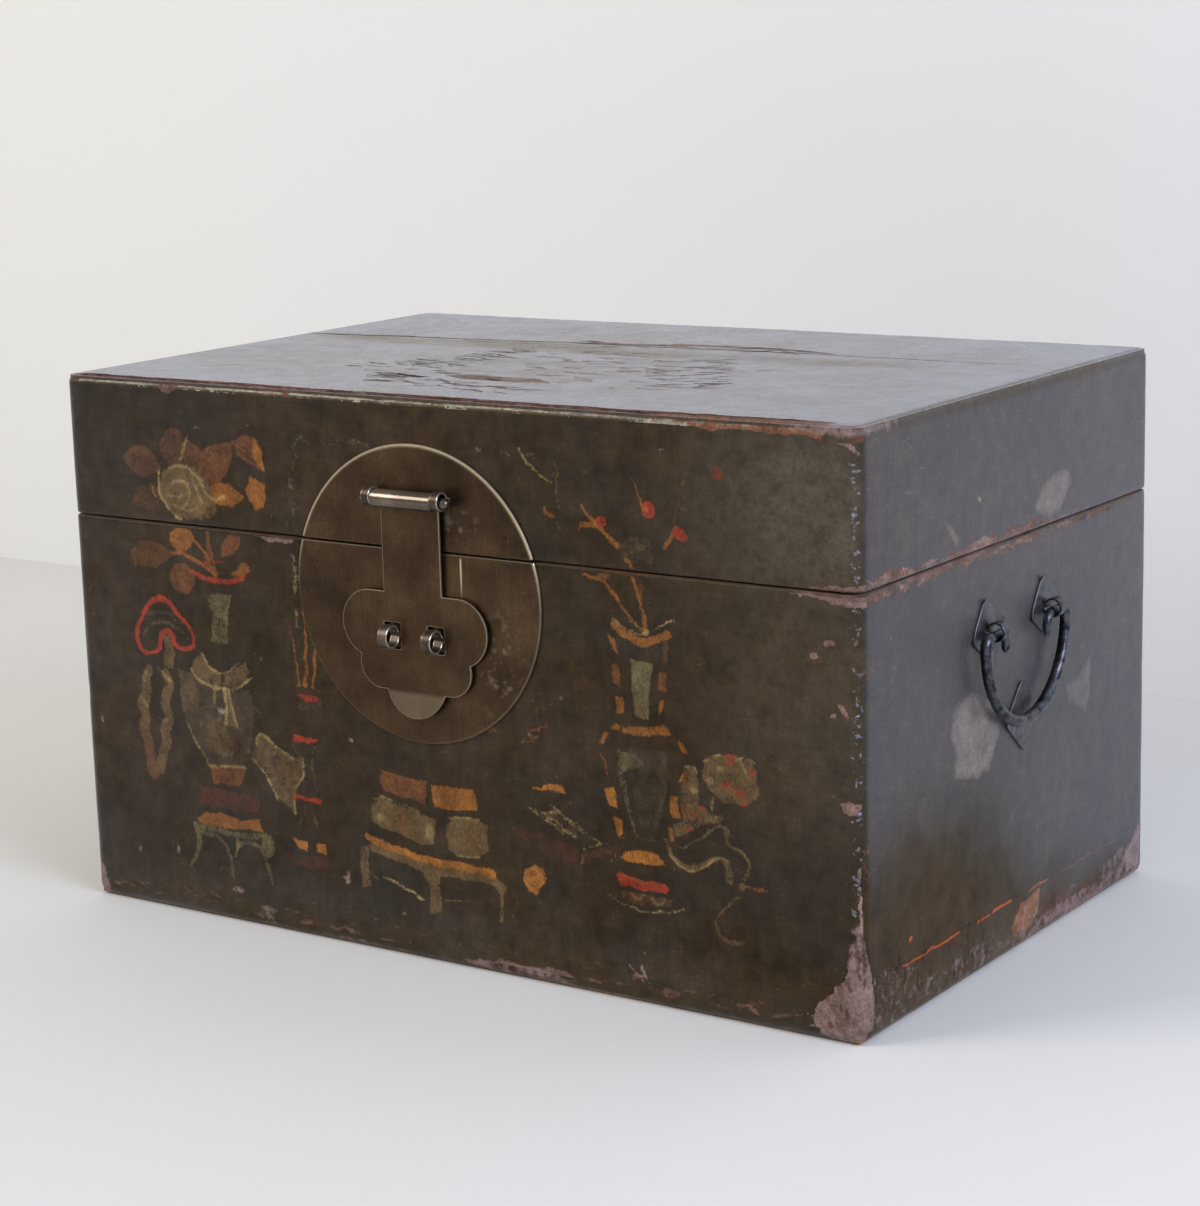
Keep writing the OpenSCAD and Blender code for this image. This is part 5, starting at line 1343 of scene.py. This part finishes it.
hasp = {
    "width": 41.6, "thickness": 1.3, "bevel": 0.2, "cell": 0.85, "back": 3.5, "pinZ": 277.4, "loopZ": 196.5,
    "lobe": (32, 5.7, 20), "sideLobe": (25, -17.3, 15), "tip": (0, -25.8, 21.7), "hole": (15.7, 6.0, 7.8),
    "barrelRadius": 5.4, "barrelLength": 42.4, "lift": 7.0,
    "pinForward": 8.9,   # the pin's axis before the lacquer
    "waves": ((0.1, 26, 41),), "fold": 1.5, "tipShine": 0.14,
    # the roll: its first and last angle, its steps, and how much its radius falls
    "roll": (-2, 372, 60), "rollIn": 0.25,
    "low": (-54, 146), "high": (54, 277.4),   # the box that the sheet is cut from
}
foldZ = hasp["loopZ"] + hasp["sideLobe"][1] - hasp["sideLobe"][2] - 0.5
haspAxis = (lock["x"], frontY - hasp["pinForward"], hasp["pinZ"])


def haspField(u, v):
    z = v - hasp["loopZ"]
    side = np.abs(u)
    lobe, sideLobe, tip, hole = (hasp[k] for k in ("lobe", "sideLobe", "tip", "hole"))
    top = (hasp["pinZ"] - hasp["loopZ"] + lobe[1]) / 2
    solid = np.minimum.reduce([
        blockField(side, z, (0, top), (hasp["width"] / 2, top - lobe[1])),
        blockField(side, z, (0, lobe[1]), (lobe[0], lobe[2])),
        discField(side, z, lobe[:2], lobe[2]),
        blockField(side, z, (0, sideLobe[1] - sideLobe[2] / 2), (sideLobe[0], sideLobe[2] / 2)),
        discField(side, z, sideLobe[:2], sideLobe[2]),
        discField(side, z, tip[:2], tip[2]),
    ])
    return np.maximum(solid, -blockField(side, z, (hole[0], 0), hole[1:], 0.8))


def haspBend(u, v):
    # flat but for small waves, and the tip lifted along a soft fold
    points = np.stack([u, v, np.zeros_like(u)], -1)
    tipRun = np.maximum(foldZ + hasp["fold"] - v, 0)
    return tipRun * math.tan(math.radians(hasp["lift"])) * smoothStep(0, 6, tipRun) + waves(points, hasp["waves"])


def haspTipHighlight(u, v):
    # the tip below the fold is paler: a painted highlight where the lifted tip faces the light
    return hasp["tipShine"] * (1 - smoothStep(foldZ - hasp["fold"], foldZ + hasp["fold"], v))


makeSheet("hasp_sheet", haspField, hasp["low"], hasp["high"], hasp, onFront(lock["x"], hasp["back"], haspBend),
          haspBrass, "hasp", ["hasp"], haspTipHighlight)
print("lock plate and hasp are cut")


def roundedBar(width, thickness, rounding=0.28):
    # a bar's section: a rectangle with its four corners cut, as points going round, and their distance from its arrises
    a, b, r = width / 2, thickness / 2, rounding
    inner = a - 3 * r
    section = np.array([(a - r, b), (a, b - r), (a, r - b), (a - r, -b), (inner, -b), (-inner, -b),
                        (r - a, -b), (-a, r - b), (-a, b - r), (r - a, b), (-inner, b), (inner, b)])
    return section, np.array([0, 0, 0, 0, 2, 2, 0, 0, 0, 0, 2, 2.0])


def carryAlong(path, section, side):
    # the section is carried along the path: its first number runs along the side vector, its second along the path's
    # tangent turned a quarter round that vector. The section may change from point to point.
    tangent = np.gradient(path, axis=0)
    tangent /= np.linalg.norm(tangent, axis=1)[:, None]
    side = np.asarray(side, float)
    normal = np.cross(side, tangent)
    normal /= np.linalg.norm(normal, axis=1)[:, None]
    section = np.broadcast_to(section, (len(path),) + section.shape[-2:])
    points = path[:, None] + section[..., :1] * side + section[..., 1:] * normal[:, None]
    rows, columns = points.shape[:2]
    faces = gridFaces(rows, columns, closeColumns=True).tolist()
    faces.append(list(range(columns)))
    faces.append(list(range((rows - 1) * columns, rows * columns))[::-1])
    return points.reshape(-1, 3), faces


eyes = {
    # split pins: the ring's inner radius, the strap's width, the legs' reach to the clinch, and the rings' places
    "strap": 1.3, "leg": 15.0, "clinch": 1.4, "opening": 12, "uneven": 0.05,
    "loop": {"inner": 5.6, "band": 6.5, "reach": 21.5, "seed": 50, "x": (-24.7, 6.7), "forward": 8.3, "z": 196.5},
    "pinEye": {"inner": 4.3, "band": 5.6, "reach": 22.1, "seed": 60, "x": (-33.4, 15.4), "forward": 8.9, "z": 278.35},
    "handleEye": {"inner": 4.5, "band": 6.4, "reach": 20.1, "seed": 70, "x": 286.9, "y": (-38.75, 34.75), "z": 200.85},
}
sides = (("left", -1), ("right", 1))


def splitPin(name, kind, centre, legWay, side, material, body, replaced):
    # a strap bent round a ring, its two legs side by side through the board and clinched flat: all in one plane
    size = eyes[kind]
    strap = eyes["strap"]
    middle = size["inner"] + strap / 2
    opening = math.degrees(math.asin(strap / 2 / middle)) + eyes["opening"]
    ring = arc((0, 0), middle, opening, 360 - opening, 40)
    reach = size["reach"] + eyes["clinch"] / 2
    low, high = (np.array([(x, sign * strap / 2) for x in (middle + 0.6, reach - 1.6)]) for sign in (1, -1))
    start = np.array([(reach, eyes["leg"]), (reach, 1.8)])
    path = np.concatenate([start, low[::-1], ring, high, start[::-1] * (1, -1)])
    path = softened(path)
    legWay, side = np.array(legWay, float), np.array(side, float)
    up = np.cross(side, legWay)
    spine = np.array(centre) + path[:, :1] * legWay + path[:, 1:] * up
    wobble = 1 + eyes["uneven"] * valueNoise(spine, 4, size["seed"])
    section, rim = roundedBar(size["band"], strap)
    points, faces = carryAlong(spine, section[None] * wobble[:, None, None], side)
    values = {"rim": np.tile(rim, len(spine)), "rubAndHighlight": np.zeros(len(points))}
    return makePiece(name, points, faces, material, body, [replaced], values, 32)


for kind, name, body, replaced in (("loop", "loop", "case", "padlock_loop"),
                                   ("pinEye", "pin_eye", "lid", "hasp_eye")):
    for (label, _), x in zip(sides, eyes[kind]["x"]):
        splitPin(f"{name}_{label}", kind, (x, frontY - eyes[kind]["forward"], eyes[kind]["z"]), (0, 1, 0), (1, 0, 0),
                 strapBrass, body, f"{replaced}_{label}")
handleEye = eyes["handleEye"]
for label, sign in sides:
    for end, y in zip(("front", "back"), handleEye["y"]):
        splitPin(f"handle_eye_{label}_{end}", "handleEye", (sign * handleEye["x"], y, handleEye["z"]), (-sign, 0, 0),
                 (0, 1, 0), forgedIron, "case", f"eye_{label}_{end}")


def turned(name, profile, centre, material, body, replaced, segments=28):
    # a profile of (x, radius) turned round an axis along x
    angles = np.linspace(0, 2 * math.pi, segments, endpoint=False)
    x = np.broadcast_to(profile[:, :1], (len(profile), segments))
    points = np.stack([x, profile[:, 1:] * np.cos(angles), profile[:, 1:] * np.sin(angles)], -1) + np.array(centre)
    faces = gridFaces(len(profile), segments, closeColumns=True)
    caps = [list(range(segments)), list(range((len(profile) - 1) * segments, len(profile) * segments))[::-1]]
    return makePiece(name, points, faces.tolist() + caps, material, body, replaced)


pin = {"half": 28.4, "radius": 3.3}
dome = arc((pin["half"], 0), pin["radius"], 3, 90, 7)
pinProfile = np.concatenate([dome * (-1, 1), dome[::-1]])
turned("pin_of_hasp", pinProfile, haspAxis, barrelBrass, "lid", ["hasp_pin"])


def makeBarrel():
    # the sheet's end rolled round the pin: a coil whose radius falls by the sheet's thickness over one turn and a bit
    turns = np.radians(np.linspace(*hasp["roll"]))
    outer = hasp["barrelRadius"] - hasp["rollIn"] * np.clip((turns - 4.2) / 2.2, 0, 1)
    thick = hasp["thickness"] * (1 - 0.75 * smoothStep(5.6, 6.4, turns))
    across = np.concatenate([outer, (outer - thick)[::-1]])
    angles = np.concatenate([turns, turns[::-1]])
    # the roll starts at the sheet's back and goes up over the front
    section = np.stack([across * np.cos(angles), across * np.sin(angles)], 1)
    length = hasp["barrelLength"] / 2
    stations = np.array([-length, -length + 0.3, length - 0.3, length])
    inset = np.array([0.94, 1, 1, 0.94])
    points = np.stack([np.broadcast_to(stations[:, None], (4, len(section))),
                       section[None, :, 0] * inset[:, None], section[None, :, 1] * inset[:, None]], -1)
    points = points + np.array(haspAxis)
    faces = gridFaces(4, len(section), closeColumns=True).tolist()
    half = len(section) // 2
    k = np.arange(half - 1)
    for row, flip in ((0, 1), (3, -1)):
        cap = np.stack([k, k + 1, len(section) - 2 - k, len(section) - 1 - k], 1) + row * len(section)
        faces += cap[:, ::flip].tolist()
    return makePiece("hasp_barrel", points, faces, barrelBrass, "hasp")


makeBarrel()

nails = {"radius": 1.25, "height": 0.7, "sunk": 0.75, "rings": 5, "segments": 14}
rings, segments = nails["rings"], nails["segments"]
for number, (angle, body) in enumerate(lock["nails"]):
    # a small domed head: heights of a quarter circle over rings of growing radius
    ring = arc((0, 0), nails["radius"], 0, 84, rings)
    angles = np.linspace(0, 2 * math.pi, segments, endpoint=False)
    x = lock["x"] + lock["nailRing"] * math.cos(math.radians(angle))
    z = lock["z"] + lock["nailRing"] * math.sin(math.radians(angle))
    forward = lock["thickness"] - nails["sunk"] + ring[:, 1] * nails["height"] / nails["radius"]
    points = np.stack([x + ring[:, :1] * np.cos(angles),
                       np.broadcast_to(frontY - forward[:, None], (rings, segments)),
                       z + ring[:, :1] * np.sin(angles)], -1)
    caps = [list(range((rings - 1) * segments, rings * segments))[::-1], list(range(segments))]
    makePiece(f"plate_nail_{number}", points, gridFaces(rings, segments, closeColumns=True).tolist() + caps, hingeBrass,
              body)

bail = {"gripRadius": 51, "wire": 3.4, "endWire": 2.6, "shoulder": 5.5, "eyeX": 36.75, "run": 4.0, "hook": 6.0,
        "hookDrop": 6.0, "segments": 16, "centre": (286.9, -2, 199), "forging": ((0.035, 7, 81),)}


def bailPath():
    # half the wire in its own plane, from the middle of the grip to the end of the hook, then mirrored
    grip = arc((0, -bail["shoulder"]), bail["gripRadius"], -90, 0, 34)
    bendX = bail["gripRadius"] - bail["shoulder"]
    shoulder = arc((bendX, -bail["shoulder"]), bail["shoulder"], 0, 90, 7)[1:]
    hookX = bail["eyeX"] - bail["run"]
    straight = np.stack([np.linspace(bendX, hookX, 8)[1:], np.zeros(7)], 1)
    hook = arc((hookX, -bail["hook"]), bail["hook"], 90, 180, 8)[1:]
    end = hook[-1] + np.array([(0, -0.4), (0, -0.7), (0, -1)]) * bail["hookDrop"]
    half = np.concatenate([grip, shoulder, straight, hook, end])
    wire = np.full(len(half), bail["endWire"])
    wire[:len(grip)] = bail["wire"]
    taper = slice(len(grip), len(grip) + len(shoulder) + 3)
    wire[taper] = np.linspace(bail["wire"], bail["endWire"], len(wire[taper]))
    wire[:len(grip)] += 0.35 * (1 - np.linspace(0, 1, len(grip))) ** 2 - 0.15
    return np.concatenate([half[:0:-1] * (-1, 1), half]), np.concatenate([wire[:0:-1], wire])


for label, sign in sides:
    flat, wire = bailPath()
    outX, middleY, axisZ = bail["centre"]
    spine = np.array([sign * outX, middleY, axisZ]) + flat[:, :1] * np.array([0, 1, 0]) \
        + flat[:, 1:] * np.array([0, 0, 1])
    wire = wire * (1 + waves(spine, bail["forging"]))
    wire[[0, -1]] *= 0.45
    wire[[1, -2]] *= 0.9
    angles = np.linspace(0, 2 * math.pi, bail["segments"], endpoint=False)
    section = wire[:, None, None] * np.stack([np.cos(angles), np.sin(angles)], 1)[None]
    points, faces = carryAlong(spine, section, (1, 0, 0))
    makePiece(f"wire_bail_{label}", points, faces, forgedIron, f"bail_{label}", [f"bail_{label}"])

# the handles' plates: length of a side, turn in degrees and height of the middle
plates = {
    "eye": (28.0, 57, handleEye["z"]), "strike": (30.0, 49, 142.0), "strikeY": 5,
    "thickness": 1.0, "bevel": 0.2, "cell": 1.0, "rounding": 0.6,
    # the tips' curl: how high, from which share of the side, over which share, and how far the plate stands off
    "curl": 1.6, "curlFrom": 0.72, "curlRun": 0.28, "stand": 0.05,
}


def handlePlate(name, sign, y, size, turn, z, replaced, seed):
    # a square of sheet on its corner, its four tips curled a little off the lacquer
    def field(u, v):
        return blockField(u, v, (0, 0), (size / 2, size / 2), plates["rounding"])
    cosine, sine = math.cos(math.radians(turn)), math.sin(math.radians(turn))

    def place(u, v, w):
        tip = np.maximum(np.abs(u) + np.abs(v) - size * plates["curlFrom"], 0) / (size * plates["curlRun"])
        points = np.stack([u, v, np.full_like(u, seed * 9.0)], -1)
        forward = w + plates["stand"] + plates["curl"] * tip ** 2 * (0.75 + 0.5 * valueNoise(points, size, seed))
        return np.stack([sign * (trunk["halfX"] + forward), y + u * cosine - v * sine, z + u * sine + v * cosine], -1)

    reach = size / 2 + 1
    makeSheet(name, field, (-reach, -reach), (reach, reach), plates, place, plateIron, "case",
              [replaced])


for label, sign in sides:
    for end, y, seed in zip(("front", "back"), handleEye["y"], (3, 4)):
        handlePlate(f"eye_sheet_{label}_{end}", sign, y, *plates["eye"], f"eye_plate_{label}_{end}", seed)
    handlePlate(f"strike_sheet_{label}", sign, plates["strikeY"], *plates["strike"], f"strike_plate_{label}", 5)
print("fittings are made")


# CAD pieces that keep their own shape

woodLong = ["case_front", "case_back", "case_bottom", "rim_front", "rim_back", "lid_front", "lid_back",
            "lid_top_front", "lid_top_back"]
for name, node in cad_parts.items():
    if node.hide_render:
        continue
    if name.startswith("hinge_"):
        finish, slotName = hingeBrass, "hinge_brass"
    else:
        finish = woodAcross if name in woodLong else woodDeep
        slotName = "rim_wood" if name.startswith("rim") else "board_wood"
    node.data.materials.clear()
    node.data.materials.append(finish)
print("boards, rims and hinges have their finish")
